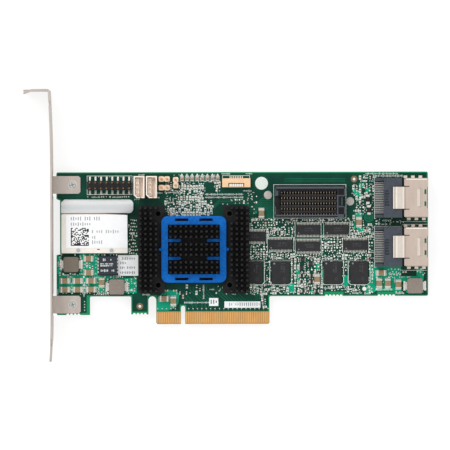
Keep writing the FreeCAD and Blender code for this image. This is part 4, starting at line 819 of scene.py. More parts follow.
def fillGaps():
    look = {"seed": 29, "heights": (0.5, 0.8, 1.1), "radii": (0.24, 0.3, 0.36), "hole": 0.24, "via": 0.25,
            "line": 0.2, "lineRoom": 0.12}
    luck = random.Random(look["seed"])
    hole, side = look["hole"], look["lineRoom"]
    for (x0, x1, y0, y1), tries, viaShare, padShare in gapZones:
        for _ in range(tries):
            x, y, pick = luck.uniform(x0, x1), luck.uniform(y0, y1), luck.random()
            tall, angle = luck.choice(look["heights"]), luck.choice((0, 90))
            radius = luck.choice(look["radii"])
            if pick < viaShare:
                if isFree(x, y, hole, hole, 0.04):
                    via(x, y, look["via"])
                    hold(x, y, hole, hole)
            elif pick < viaShare + padShare:
                if isFree(x, y, radius, radius, 0.06):
                    pads.disc(x, y, radius, seatZ, maskZ + 0.04, 8)
                    hold(x, y, radius, radius)
            else:
                halfX, halfY = (tall / 2, side) if angle else (side, tall / 2)
                if isFree(x, y, halfX, halfY, 0.05):
                    printed.block(x, y, look["line"], tall, seatZ, printZ, angle=angle)
                    hold(x, y, halfX, halfY)


fillGaps()
print("small parts placed:", len(taken))


# Printed outlines and marks on the board

def boardPrint():
    framePixels(86.9, 175.8, 132.4, 194.7)
    framePixels(273.4, 184.4, 346.2, 218.2, 0.2)
    linePixels([(222.4, 186), (222.4, 175.6), (249.6, 175.6), (249.6, 187.4)])
    for x in (98.6, 109.8, 121.0):
        linePixels([(x, 175.8), (x, 177.4)])
    for low, high in solidsOf("memory_chips"):
        x, y = midOf(low, high)
        w, top, base, cut = 4.95, 5.45, 5.5, 1.1
        lineMark([(x - w, y + top), (x + w, y + top), (x + w, y - base + cut), (x + w - cut, y - base),
                  (x - w + cut, y - base), (x - w, y - base + cut), (x - w, y + top)], 0.26)
        lineMark([(x - w, y + top), (x + w, y + top)], 0.44)
    for low, high in solidsOf("buffer_chips"):
        y = (low.y + high.y) / 2
        for x in (low.x - 0.5, high.x + 0.5):
            lineMark([(x, y - 3.1), (x, y + 3.1)], 0.22)
        lineMark([(low.x - 0.5, y + 3.3), (high.x + 0.5, y + 3.3)], 0.14)
    for low, high in solidsOf("status_leds"):
        x = (low.x + high.x) / 2
        frameMark(x, 66.0, 1.75, 2.4, 0, 0.13)
        y = high.y + 0.35
        printed.prism([(x - 0.62, y), (x + 0.62, y), (x, y + 1.0)], seatZ, printZ)
    # beside the upper port, and as far below it beside the lower one
    for drop in (0, 48.7):
        top, foot = 177.4 + drop, 218.4 + drop
        linePixels([(376.3, top), (374.5, top), (374.5, foot), (376.3, foot)], 0.24)
        linePixels([(399.5, 220.2 + drop), (401, 221.6 + drop), (426.6, 221.6 + drop)], 0.2)
    linePixels([(378.9, 220.6), (378.9, 226.6)], 0.12)
    linePixels([(385.2, 220.6), (385.2, 226.6)], 0.12)
    linePixels([(374, 226.3), (401, 226.3), (403, 224.2), (427, 224.2)], 0.16)
    printed.disc(*plainDisc, 2.9, seatZ, printZ, 40)
    for px, py in ((394.6, 277), (57.8, 289)):
        linePixels([(px, py), (px, py + 6)], 0.2)

    # rows of strokes: pixel, count, height in millimetres, angle
    rows = [
        (205.4, 194.4, 32, 0.88, 0), (205.4, 197.4, 32, 0.88, 0), (184.5, 302.6, 30, 0.85, 0),
        (203.6, 298.5, 13, 0.8, 90), (262.8, 306, 12, 0.75, 90), (366, 173.6, 24, 1.0, 0),
        (373.6, 175.9, 19, 1.15, 0), (360.8, 181.2, 5, 0.9, 0), (364, 177.8, 4, 0.9, 0),
        (376, 289.6, 8, 0.85, 0), (385, 289.4, 7, 0.85, 0), (396, 293.2, 8, 0.8, 0),
        (372.4, 278, 9, 0.8, 90), (352.5, 293, 6, 0.8, 0), (364.8, 293.6, 6, 0.8, 0),
        (106, 290, 9, 0.9, 0), (94.5, 277.4, 6, 0.7, 0), (64, 275, 6, 0.7, 0), (115.6, 276.4, 6, 0.7, 0),
        (99, 194, 9, 0.6, 0), (112.5, 197.3, 12, 0.6, 0), (92, 197.3, 10, 0.6, 0), (139, 175, 5, 0.9, 0),
        (134.6, 199.4, 6, 0.7, 0), (157.4, 193, 6, 0.7, 0), (165, 192.5, 8, 0.7, 0),
        (151.6, 197.6, 9, 0.7, 0), (174, 192.8, 6, 0.7, 0), (243.5, 190.8, 8, 0.8, 0),
        (246, 173.7, 7, 0.7, 0), (222, 173.8, 9, 0.7, 0), (196.6, 201.6, 6, 0.7, 0),
        (274.6, 258.4, 8, 0.7, 0), (322.6, 258.4, 8, 0.7, 0), (352, 258.4, 8, 0.7, 0),
        (246.6, 258.4, 8, 0.7, 0), (249, 220.4, 8, 0.7, 90), (345, 289.2, 9, 0.8, 0),
        (325, 288.4, 9, 0.7, 0), (272, 290.6, 8, 0.8, 0), (84, 296.6, 6, 0.8, 90), (407, 224.9, 5, 0.6, 0),
        (160.5, 301.2, 6, 0.8, 0), (173.4, 308, 7, 0.8, 90), (210, 289.5, 5, 0.7, 0),
        (143, 294.6, 7, 0.8, 0), (128.5, 290.6, 5, 0.8, 0), (383, 220, 12, 0.55, 0),
        (250, 231, 9, 0.7, 90), (375.6, 223.6, 5, 0.6, 0), (58.4, 266, 5, 0.7, 90),
    ]
    for number, (px, py, count, height, angle) in enumerate(rows):
        tickMarks(*fromPixel(px, py), count, height, angle, number + 3)
    testPad(*widePad, 0.95)
    for y in (301.5, 304.5, 307.3, 310.2):
        via(*fromPixel(84.6, y), 0.26)
    for i in range(7):
        via(*fromPixel(94.4 + 2.3 * i, 294.4), 0.26)
    for px, py in [(391.5, 269), (395, 269.2), (398.4, 269.3), (392.7, 271.6), (396.2, 272), (391.2, 274.2),
                   (394.4, 274.2), (398.6, 273.2), (400, 274.6), (397, 275), (369.5, 286.6), (369.8, 290.2),
                   (371.5, 288.6), (417.5, 271.5), (420.4, 272), (423.2, 274.8), (421, 269), (396.2, 291.8)]:
        via(*fromPixel(px, py), 0.34)


boardPrint()


def stampMark():
    # a round stamp in a brighter green, with a few random strokes
    look = {"pixel": (368.8, 217.4), "radius": 1.95, "ring": (1.75, 2.0), "strokes": 9, "reach": 0.9,
            "stroke": (0.22, 0.7), "seed": 5}
    x, y = fromPixel(*look["pixel"])
    stamp = Shape()
    stamp.disc(x, y, look["radius"], seatZ, maskZ + 0.008, 28, 1)
    stamp.ring(x, y, *look["ring"], seatZ, printZ, 28)
    luck = random.Random(look["seed"])
    reach = look["reach"]
    for _ in range(look["strokes"]):
        stamp.block(x + luck.uniform(-reach, reach), y + luck.uniform(-reach, reach), *look["stroke"],
                    seatZ, printZ, angle=luck.choice((0, 45, 90)))
    stamp.piece("stamp_mark", ["maskOverTrack", "maskStamp"], "board_laminate")


stampMark()


def roundMetal():
    # solder-coated discs and the rings of the tooling holes
    look = {"disc": [(1.9, -0.01), (1.9, 0.03), (1.7, 0.09), (0.9, 0.14)], "ring": (0.71, 1.5),
            "sleeve": (0.64, 0.72)}
    discs = Shape()
    for x, y in groundDiscs:
        discs.turned(x, y, [(radius, maskZ + rise) for radius, rise in look["disc"]], 32)
    discs.piece("ground_discs", ["solderCoat"], "tin_plating", smooth=True)
    rings = Shape()
    for x, y in boardLook["toolingHoles"]:
        for low, high in ((faceZ - bite, maskZ + 0.03), (backZ - 0.06, backZ + bite)):
            rings.ring(x, y, *look["ring"], low, high, 32)
        rings.ring(x, y, *look["sleeve"], backZ, faceZ, 24)
    rings.piece("hole_rings", ["copperRing"], "gold_plating")


roundMetal()


# Small parts that are solids of the card already, with their ends

def endedChip(shape, x, y, angle, dims, z, up=1):
    # dims: length, width, height and end length; finish 0 is the metal, 1 the body
    length, width, height, end = dims
    spot = (x, y, angle)
    w = width / 2

    def level(top):
        return sorted((z, z + up * top))

    shape.box(-length / 2 + end, length / 2 - end, -w + 0.02, w - 0.02, *level(height * 0.94), 1, 0.0, spot)
    for s in (-1, 1):
        x0, x1 = sorted((s * length / 2, s * (length / 2 - end)))
        shape.box(x0, x1, -w, w, *level(height), 0, 0.0, spot)
        near = s * (length / 2 - 0.05)
        rings = []
        for reach, half, rise in ((0.34, w + 0.05, 0), (0.06, w - 0.05, up * height * 0.7)):
            far = s * (length / 2 + reach)
            outline = [(near, -half), (far, -half), (far, half), (near, half)]
            rings.append([(px, py, z + rise) for px, py in outline][::-1 if s * up < 0 else 1])
        shape.stack(rings, 0, spot)


chipSizes = {"capacitor": (1.6, 0.8, 0.8, 0.36), "resistor": (2.0, 1.25, 0.55, 0.4)}


def endedParts():
    # node, piece, finish of its bodies, slot, kind, face of the board and its direction
    for node, name, body, slotName, kind, z, up in (
            ("small_capacitors", "small_capacitor_parts", "tanCeramic", "tan_ceramic", "capacitor", faceZ, 1),
            ("resistors", "resistor_parts", "glaze", "resistor_glaze", "resistor", faceZ, 1),
            ("solder_side_capacitors", "solder_side_parts", "tanCeramic", "tan_ceramic", "capacitor",
             backZ, -1)):
        chips = Shape()
        for low, high in solidsOf(node):
            angle = 0 if high.x - low.x > high.y - low.y else 90
            endedChip(chips, *midOf(low, high), angle, chipSizes[kind], z, up)
        chips.piece(name, ["tin", body], slotName, (node,))
    # a transistor: its mould, three leads on each side and the solder under them
    look = {"mould": (1.5, 2.1), "lead": [(0.9, 0.5), (1.2, 0.5), (1.35, 0.14), (1.5, 0.14), (1.5, 0.01),
                                          (0.9, 0.3)],
            "leadsAt": (-0.48, 0.0, 0.48), "leadHalf": 0.17, "pad": (1.5, 0.9), "padAt": 1.65}
    triple = Shape()
    for low, high in solidsOf("transistors"):
        x, y = midOf(low, high)
        triple.block(x, y, *look["mould"], faceZ + 0.1, high.z, 1, 0.12)
        for s in (1, -1):
            outline = [(y + s * out, faceZ + rise) for out, rise in look["lead"]][::s]
            for px in look["leadsAt"]:
                triple.bar(x + px - look["leadHalf"], x + px + look["leadHalf"], outline)
        for s in (-1, 1):
            triple.block(x, y + s * look["padAt"], *look["pad"], faceZ, maskZ + 0.03)
    triple.piece("transistor_parts", ["brightTin", "mould"], "chip_mould", ("transistors",))


endedParts()


def nearest(places, x, y):
    return min(places, key=lambda place: (place[0] - x) ** 2 + (place[1] - y) ** 2)


def solderUnderParts():
    # fillets at the ends of the large capacitors, the inductors and the power module
    look = {"start": 0.1, "out": 1.0, "topOut": 0.36, "topIn": 0.15, "low": 0.12, "high": 1.1,
            "pad": (0.9, 4.3), "foot": (0.5, 3.4), "modulePad": (0.9, 0.95)}
    fillets = Shape()
    bodies = [midOf(low, high) for low, high in solidsOf("large_capacitor_bodies")]
    for low, high in solidsOf("large_capacitor_ends"):
        x, y = midOf(low, high)
        bx, by = nearest(bodies, x, y)
        if high.x - low.x < high.y - low.y:
            angle = 0 if x > bx else 180
        else:
            angle = 90 if y > by else 270
        half, start = max(high.x - low.x, high.y - low.y) / 2, look["start"]
        rings = [[(start, -h, z), (out, -h, z), (out, h, z), (start, h, z)] for out, h, z in (
            (look["out"], half, faceZ), (look["out"], half, maskZ + look["low"]),
            (look["topOut"], half - look["topIn"], faceZ + look["high"]))]
        fillets.stack(rings, 0, (x, y, angle))
    cores = [midOf(low, high) for low, high in solidsOf("inductor_cores")]
    for low, high in solidsOf("inductor_terminals"):
        x, y = midOf(low, high)
        s = 1 if x > nearest(cores, x, y)[0] else -1
        outer = high.x if s > 0 else low.x
        fillets.block(outer + s * 0.25, y, *look["pad"], faceZ, maskZ + 0.1, 0, 0.05)
        fillets.block(outer - s * 0.45, y, *look["foot"], faceZ + 0.25, faceZ + 0.62, 0, 0.1)
    for low, high in solidsOf("power_module_pads"):
        fillets.block(*midOf(low, high), *look["modulePad"], faceZ, maskZ + 0.08, 0, 0.03)
    fillets.piece("solder_fillets", ["brightTin"], "tin_plating")


solderUnderParts()
print("ends and solder made")


# Header, sockets and lights

def headerPins():
    # lead: the side view of a lead, as distance from the header's middle and height over the board
    look = {"row": 1.27, "post": 0.64, "sunk": 1.0, "leadHalf": 0.32, "pad": (0.84, 1.9), "padAt": 3.15,
            "lead": [(1.2, 0.35), (1.2, 0.5), (2.5, 0.5), (2.9, 0.26), (3.88, 0.2), (3.88, 0.02), (2.7, 0.06),
                     (2.35, 0.35)]}
    blockLow, blockHigh = boxOf("header_block")
    middleY = (blockLow.y + blockHigh.y) / 2
    posts, leads = Shape(), Shape()
    for low, high in solidsOf("header_pins"):
        x, y = midOf(low, high)
        s = 1 if y > middleY else -1
        posts.block(x, middleY + s * look["row"], look["post"], look["post"], blockHigh.z - look["sunk"],
                    high.z, 0, 0.22)
        outline = [(middleY + s * out, faceZ + rise) for out, rise in look["lead"]]
        # the leads on the lower side take the darker contact tin: painted shade where the block shades them
        leads.bar(x - look["leadHalf"], x + look["leadHalf"], outline[::-s], int(s < 0))
        leads.block(x, middleY + s * look["padAt"], *look["pad"], faceZ, maskZ + 0.04, 0, 0.02)
    posts.piece("header_posts", ["postGold"], "gold_plating", ("header_pins",))
    leads.piece("header_leads", ["brightTin", "contactTin"], "tin_plating", ("header_pins",))


headerPins()


def wireSocketCells():
    # the cell of each pin, the well in it and the tip of the pin, the tip in painted shade
    look = {"aside": 0.1, "cell": (1.7, 1.9, 2.17, 5.2), "well": (0.36, 0.62, 5.15, 5.28), "pin": 0.5,
            "pinFrom": 4.9}
    cells = Shape()
    for low, high in solidsOf("wire_socket_pins"):
        x, y = midOf(low, high)
        cells.block(x - look["aside"], y, *look["cell"], 0, 0.25)
        cells.ring(x, y, *look["well"], 14, 2)
        cells.block(x, y, look["pin"], look["pin"], look["pinFrom"], high.z + 0.02, 1, 0.12)
    cells.piece("wire_socket_cells", ["whitePlastic", "wellShade", "beigeCell"], "white_plastic")


wireSocketCells()


def jumperWells():
    # the funnel round each jumper pin in painted shade, and the pin's tip
    look = {"well": (0.44, 0.6), "pin": 0.6}
    wells = Shape()
    top = boxOf("jumper_blocks")[1].z
    for low, high in solidsOf("jumper_pins"):
        x, y = midOf(low, high)
        wells.ring(x, y, *look["well"], top - bite, top + 0.02, 16)
        wells.block(x, y, look["pin"], look["pin"], high.z - 0.6, high.z + 0.01, 1, 0.2)
    wells.piece("jumper_wells", ["wellShade", "gold"], "cream_plastic")


jumperWells()


def statusLights():
    # the base of each light, its two ends, the lens and the chip in it
    look = {"base": (1.2, 1.9), "end": (1.24, 0.5), "endAt": 0.86, "lens": (1.1, 1.1), "chip": (0.6, 0.5)}
    lights = Shape()
    for low, high in solidsOf("status_leds"):
        x, y = midOf(low, high)
        lights.block(x, y, *look["base"], faceZ, faceZ + 0.22, 1)
        for s in (-1, 1):
            lights.block(x, y + s * look["endAt"], *look["end"], faceZ, faceZ + 0.26, 0, 0.03)
        lights.block(x, y, *look["lens"], faceZ + 0.2, high.z, 2, 0.16)
        lights.block(x, y - 0.3, *look["chip"], high.z - 0.04, high.z, 3)
    lights.piece("status_lights", ["tin", "beigeCell", "lens", "copperRing"], "led_lens", ("status_leds",))


statusLights()


def cableBlades():
    # the blade of each contact, its tail and the solder pad
    look = {"bladeY": 62.9, "blade": (0.68, 1.2), "bladeZ": (1.0, 4.15), "pad": (0.4, 1.0), "tailHalf": 0.17,
            "tailFrom": 63.0}
    blades = Shape()
    for low, high in solidsOf("cable_socket_contacts"):
        x = (low.x + high.x) / 2
        blades.block(x, look["bladeY"], *look["blade"], *look["bladeZ"], 0, 0.06)
        blades.block(x, high.y - 0.5, *look["pad"], faceZ, maskZ + 0.2, 0, 0.05)
        blades.box(x - look["tailHalf"], x + look["tailHalf"], look["tailFrom"], high.y - 0.8, faceZ + 0.02,
                   faceZ + 0.2)
    blades.piece("cable_socket_blades", ["bladeWhite"], "tin_plating", ("cable_socket_contacts",))


cableBlades()


def moduleBlades():
    # the blade of each contact, and a gilded ridge beside it
    look = {"pitch": 1.27, "columns": 20, "blade": (0.32, 0.84), "bladeAt": 0.14, "ridge": (0.34, 0.42),
            "ridgeAt": 0.86, "ridgeZ": 5.585}
    blades = Shape()
    for low, high in solidsOf("module_socket_contacts"):
        middle, y = midOf(low, high)
        for x in spread(middle, look["pitch"], look["columns"]):
            blades.block(x, y + look["bladeAt"], *look["blade"], low.z, high.z, 0, 0.1)
            blades.block(x, y - look["ridgeAt"], *look["ridge"], look["ridgeZ"] - 0.02, look["ridgeZ"] + 0.03,
                         1, 0.02)
    blades.piece("module_socket_blades", ["bladeTin", "bladeGold"], "tin_plating",
                 ("module_socket_contacts",))


moduleBlades()


def socketTrim():
    # painted highlights on the edges and painted shade in the recesses of the module socket's rim, as pixels
    # of the photograph
    look = {
        "edges": [(274.7, 186.8, 344.7, 188.6), (274.7, 214.9, 337.4, 216.2), (337.4, 214.2, 344.7, 217.2),
                  (274.7, 187, 275.7, 196), (275.4, 190.8, 278, 195.8), (274.7, 206.6, 275.8, 215.8),
                  (343.8, 187, 344.7, 196), (343.8, 206.4, 344.7, 217.2), (336.6, 195.2, 338, 214.6),
                  (338, 195, 343.8, 196.2), (338.2, 206, 343.8, 207.2), (341.2, 197.6, 342.2, 205.2)],
        "recesses": [(276.8, 188.6, 281, 190.6), (278.4, 190.6, 281, 195.8), (278.6, 206.8, 281, 214.4),
                     (338.2, 188.4, 343.6, 194.8), (338.2, 207.6, 343.6, 214), (339, 196.6, 340.6, 205.6),
                     (281, 188.6, 337, 190.2)],
    }
    top = boxOf("module_socket_shell")[1].z
    trim = Shape()
    for mark, group, lift in ((0, "edges", 0.05), (1, "recesses", 0.02)):
        for x0, y0, x1, y1 in look[group]:
            (left, high), (right, low) = fromPixel(x0, y0), fromPixel(x1, y1)
            trim.box(left, right, low, high, top - 0.03, top + lift, mark, 0.01)
    trim.piece("socket_trim", ["socketEdgeHighlight", "socketRecessShade"], "black_plastic")


socketTrim()


def gullLeads():
    look = {"pitch": 0.65, "count": 16, "width": 0.28, "thick": 0.14, "side": 2.2, "shoulder": 1.42,
            "pad": (0.36, 0.6), "padAt": 0.8}
    thick, shoulder = look["thick"], look["shoulder"]
    foot, sole = faceZ + thick + 0.03, faceZ + 0.02
    sideView = [(-0.05, shoulder), (0.28, shoulder), (0.44, foot), (0.85, foot), (0.85, sole), (0.34, sole),
                (0.2, shoulder - thick), (-0.05, shoulder - thick)]
    leads = Shape()
    for low, high in solidsOf("buffer_chips"):
        middle, y = midOf(low, high)
        for s in (-1, 1):
            edge = y + s * look["side"]
            outline = [(edge + s * out, z) for out, z in sideView]
            for x in spread(middle, look["pitch"], look["count"]):
                leads.bar(x - look["width"] / 2, x + look["width"] / 2, outline[::s])
                leads.block(x, edge + s * look["padAt"], *look["pad"], faceZ, maskZ + 0.04)
    leads.piece("buffer_lead_rows", ["tin"], "tin_plating", ("buffer_leads",))


gullLeads()
print("contacts and leads made")


# Bracket screws: pan heads with a cross recess behind, threaded ends with a cross mark in front whose floor
# is painted shade

def crossOutline(x, y, reach, half, angle=0.0):
    points = []
    for k in range(4):
        a = angle + k * math.pi / 2
        for along, across in ((half, -half), (reach, -half), (reach, half)):
            points.append((x + along * math.cos(a) - across * math.sin(a),
                           y + along * math.sin(a) + across * math.cos(a)))
    return points


def bracketScrews():
    # head: radius and height over its lowest point; rings of the collars: two radii, two heights
    look = {"face": 2.0, "head": [(2.0, 0.22), (2.45, 0.42), (2.7, 0.85)], "recess": (1.35, 0.34, 0.5),
            "shank": 1.44, "core": 1.22, "thread": 0.5, "threadEnd": 0.7, "end": 1.3, "tip": (1.0, 0.24, 0.3),
            "tipFloor": (0.99, 0.23, 0.3), "tabTop": 1.585,
            "collars": [(1.5, 2.15, -0.02, 0.12), (1.5, 1.75, 0.1, 0.45)]}
    core, thread, tabTop, face = look["core"], look["thread"], look["tabTop"], look["face"]
    screws, collars = Shape(), Shape()
    for low, high in solidsOf("bracket_screws"):
        x, y = midOf(low, high)
        head = [(radius, low.z + rise) for radius, rise in look["head"]]
        screws.turned(x, y, head + [(head[-1][0], backZ)], 36)
        screws.plate([circle(x, y, face, 36), crossOutline(x, y, *look["recess"])[::-1]], low.z,
                     low.z + 0.24)
        profile = [(core, backZ)]
        z = backZ + 0.1
        while z < high.z - look["threadEnd"]:
            profile += [(core, z), (look["shank"], z + thread / 2), (core, z + thread)]
            z += thread
        screws.turned(x, y, profile + [(core, high.z - 0.34)], 24)
        screws.plate([circle(x, y, look["end"], 24), crossOutline(x, y, *look["tip"])[::-1]],
                     high.z - 0.36, high.z - 0.02)
        # the floor of the cross is painted shade
        screws.prism(crossOutline(x, y, *look["tipFloor"]), high.z - 0.4, high.z - 0.12, 1)
        # the collars are a lighter copy of the bracket steel: a painted highlight on the formed rims
        for inner, outer, z0, z1 in look["collars"]:
            collars.ring(x, y, inner, outer, tabTop + z0, tabTop + z1, 32)
    screws.piece("screws", ["screwSteel", "screwRecessShade"], "screw_steel", ("bracket_screws",))
    collars.piece("screw_collars", ["collarHighlightSteel"], "bracket_steel")


bracketScrews()


# Heat sink: bosses with painted highlights on their rims and wells of painted shade at its four holes, and
# painted highlights on the tips of its pins

def sinkDetails():
    look = {"spacing": 32.3, "base": 2.2, "boss": (1.1, 1.62), "rim": (1.42, 1.62), "well": 1.6, "tip": 0.3,
            "pinClear": 1.0}
    low, high = boxOf("heat_sink")
    middleX, middleY = midOf(low, high)
    baseTop = low.z + look["base"]
    bosses = Shape()
    for sx in (-1, 1):
        for sy in (-1, 1):
            x, y = middleX + sx * look["spacing"] / 2, middleY + sy * look["spacing"] / 2
            bosses.ring(x, y, *look["boss"], baseTop - 0.05, baseTop + 0.3, 28)
            # the rim of each boss is a painted highlight, and the disc under each hole is painted shade
            bosses.ring(x, y, *look["rim"], baseTop + 0.28, baseTop + 0.36, 28, 2)
            bosses.disc(x, y, look["well"], faceZ, maskZ + 0.03, 24, 1)
    bosses.piece("heat_sink_bosses", ["anodised", "paintedShadeAndDarkMark", "pinHighlight"], "black_anodised")

    def onGrid(values, middle):
        # the mean of the values, on a grid of half millimetres from the middle
        return round(middle + round((sum(values) / len(values) - middle) * 2) / 2, 2)

    tips = Shape()
    mesh = cad["heat_sink"].data
    peaks = set()
    for face in mesh.polygons:
        if face.normal.z > 0.9 and face.center.z / mm > high.z - 0.05:
            corners = [mesh.vertices[i].co / mm for i in face.vertices]
            peaks.add((onGrid([c.x for c in corners], middleX), onGrid([c.y for c in corners], middleY)))
    # a tip's two faces may lie on different grid points: only the first is used
    seen = []
    tip = look["tip"]
    for x, y in sorted(peaks):
        if all((x - a) ** 2 + (y - b) ** 2 > look["pinClear"] for a, b in seen[-60:]):
            seen.append((x, y))
            tips.turned(x, y, [(tip, high.z - 0.02), (tip, high.z + 0.02), (tip * 0.6, high.z + 0.06)], 8)
    tips.piece("pin_tips", ["pinHighlight"], "black_anodised", smooth=True)


sinkDetails()
print("screws and heat sink made")


# Cages: skin of the spring tongue and rib in painted highlight and painted shade, painted highlights on the
# top edge and the feet, painted shadow in the gap before each cage, and the board seen through the windows

def cageDetails():
    # strips along X: from, to, lift over the cage and finish; for the rib from, to, two heights and finish
    look = {
        "top": 10.035, "tongueLength": 9.84, "ribBase": 9.68, "ribHalf": 4.0,
        "tongue": [(95.02, 95.48, 0.08, 0), (95.5, 96.1, 0.02, 2), (96.12, 97.0, 0.1, 0),
                   (97.0, 99.25, 0.06, 1), (99.25, 99.9, 0.12, 0), (99.9, 100.5, 0.03, 2)],
        "rib": [(105.95, 106.5, 9.7, 10.22, 0), (106.5, 107.3, 10.22, 10.22, 1),
                (107.3, 107.95, 10.22, 9.72, 3)],
        "ribFaces": [(0, 1, 3, 2), (2, 3, 5, 4), (4, 5, 7, 6), (6, 7, 1, 0), (0, 2, 4, 6), (1, 7, 5, 3)],
        "lip": [(8.1, 9.68), (8.5, 9.54), (8.55, 9.58), (8.1, 9.71)], "lipEnds": (101.0, 110.4),
        # window: size of a dark block of painted shadow in the gap between the port housing and the cage
        "floorX": 109.6, "floor": (2.6, 11.0, 1.13, 1.16), "gapShadeX": 99.6, "gapShadeY": 7.05,
        "window": (0.95, 3.7, 8.95, 9.03), "sillX": 100.4, "sillY": 7.0, "sill": (0.7, 3.2, 9.3, 9.67),
        "tailPitch": 3.4, "tails": 3, "tailY": 9.5, "tail": (1.6, 1.16, 1.12, 1.2),
    }
    base, half = look["ribBase"], look["ribHalf"]
    skins, floors = Shape(), Shape()
    for node in ("upper_port_cage", "lower_port_cage"):
        y, top = midOf(*boxOf(node))[1], look["top"]
        # the tongue's strips are painted highlight and painted soft highlight over the cage steel
        for x0, x1, lift, mark in look["tongue"]:
            skins.block((x0 + x1) / 2, y, x1 - x0, look["tongueLength"], top - bite, top + lift, mark, 0.03)
        # the rib: painted highlight on its left slope, painted soft highlight on top, painted shade on its
        # right slope
        for x0, x1, z0, z1, mark in look["rib"]:
            outline = ((x0, base), (x1, base), (x1, z1), (x0, z0))
            skins.add([(px, py, pz) for px, pz in outline for py in (y - half, y + half)], look["ribFaces"],
                      mark)
        floors.block(look["floorX"], y, *look["floor"])
        for s in (-1, 1):
            # dark blocks of painted shadow in the gap before the cage
            floors.block(look["gapShadeX"], y + s * look["gapShadeY"], *look["window"], 1)
            skins.block(look["sillX"], y + s * look["sillY"], *look["sill"], 2, 0.04)
        # a painted highlight along the top edge, and painted highlights on the tops of the feet
        skins.bar(*look["lipEnds"], [(y + out, z) for out, z in look["lip"]])
        for s, middle in ((1, 104.3), (-1, 105.8)):
            for x in spread(middle, look["tailPitch"], look["tails"]):
                skins.block(x, y + s * look["tailY"], *look["tail"], 0, 0.04)
    skins.piece("cage_skins", ["cagePaintedHighlight", "cagePaintedSoftHighlight", "cageSteel", "cagePaintedShade"], "cage_steel")
    floors.piece("cage_floor_openings", ["maskOverFill", "paintedShadeAndDarkMark"], "board_laminate")


cageDetails()


# Print on chips, ports and labels

def ink(z):
    # lower and upper face of print on a surface at z
    return z - 0.01, z + 0.012


def strokes(shape, x, y, count, height, z, mark=0, angle=0, seed=1, fill=0.3):
    # a row of short strokes of uneven height, a few of them left out
    look = {"left": 0.12, "heights": (0.55, 0.8, 1.0), "step": 0.6}
    luck = random.Random(seed)
    c, s = math.cos(math.radians(angle)), math.sin(math.radians(angle))
    for i in range(count):
        if luck.random() < look["left"]:
            continue
        tall = height * luck.choice(look["heights"])
        across = i * height * look["step"]
        shape.block(x + across * c, y + across * s, height * fill, tall, *ink(z), mark, angle=angle)


def chipPrint():
    marks = Shape()
    for number, (low, high) in enumerate(solidsOf("memory_chips")):
        x, y, z = *midOf(low, high), high.z
        marks.disc(x - 2.9, y + 4.1, 0.42, *ink(z), 14, 1)
        strokes(marks, x + 0.4, y + 0.4, 6, 0.85, z, 0, 90, number + 1)
        strokes(marks, x + 1.5, y + 0.2, 7, 0.85, z, 0, 90, number + 9)
        strokes(marks, x + 0.6, y + 4.1, 5, 0.5, z, 0, 0, number + 20)
        marks.ring(x + 1.7, y - 2.9, 0.52, 0.68, *ink(z), 18)
    for number, (low, high) in enumerate(solidsOf("buffer_chips")):
        x, y, z = *midOf(low, high), high.z
        marks.disc(x - 4.3, y - 1.45, 0.3, *ink(z), 12, 1)
        strokes(marks, x - 1.3, y + 0.65, 9, 0.72, z, 0, 0, number + 31)
        strokes(marks, x - 1.1, y - 0.35, 9, 0.72, z, 0, 0, number + 41)
    for number, (low, high) in enumerate(solidsOf("small_chips")):
        x, y, z = *midOf(low, high), high.z
        strokes(marks, x - 0.4, y, 3, 0.5, z, 0, 0, number + 51)
        for s in (-1, 1):
            for py in spread(y, 0.65, 3):
                marks.block(x + s * 1.05, py, 0.5, 0.3, faceZ, faceZ + 0.25, 2)
    marks.piece("chip_print", ["chipMark", "chipDot", "tin"], "chip_mould")
    module = Shape()
    low, high = boxOf("power_module")
    x, y, z = *midOf(low, high), high.z
    # rows: place from the middle, count, height, seed and share of ink
    for dx, dy, count, height, seed, fill in (
            (-2.0, 2.6, 2, 1.2, 61, 0.3), (1.4, 2.6, 2, 1.2, 62, 0.3), (-3.2, 0.75, 14, 0.7, 63, 0.42),
            (-3.2, -0.1, 14, 0.7, 64, 0.42), (-3.0, -2.3, 5, 1.2, 65, 0.3), (1.2, -2.3, 3, 1.2, 66, 0.3)):
        strokes(module, x + dx, y + dy, count, height, z, 0, 0, seed, fill)
    module.piece("power_module_print", ["silk"], "chip_mould")
    ports = Shape()
    for node in ("upper_port_housing", "lower_port_housing"):
        y = midOf(*boxOf(node))[1]
        strokes(ports, 92.3, y - 3.2, 6, 2.1, 8.985, 0, 90, 71, 0.4)
        ports.block(91.4, y + 0.2, 0.3, 6.4, 8.98, 9.0)
    ports.piece("port_marks", ["slateMark"], "slate_plastic")


chipPrint()


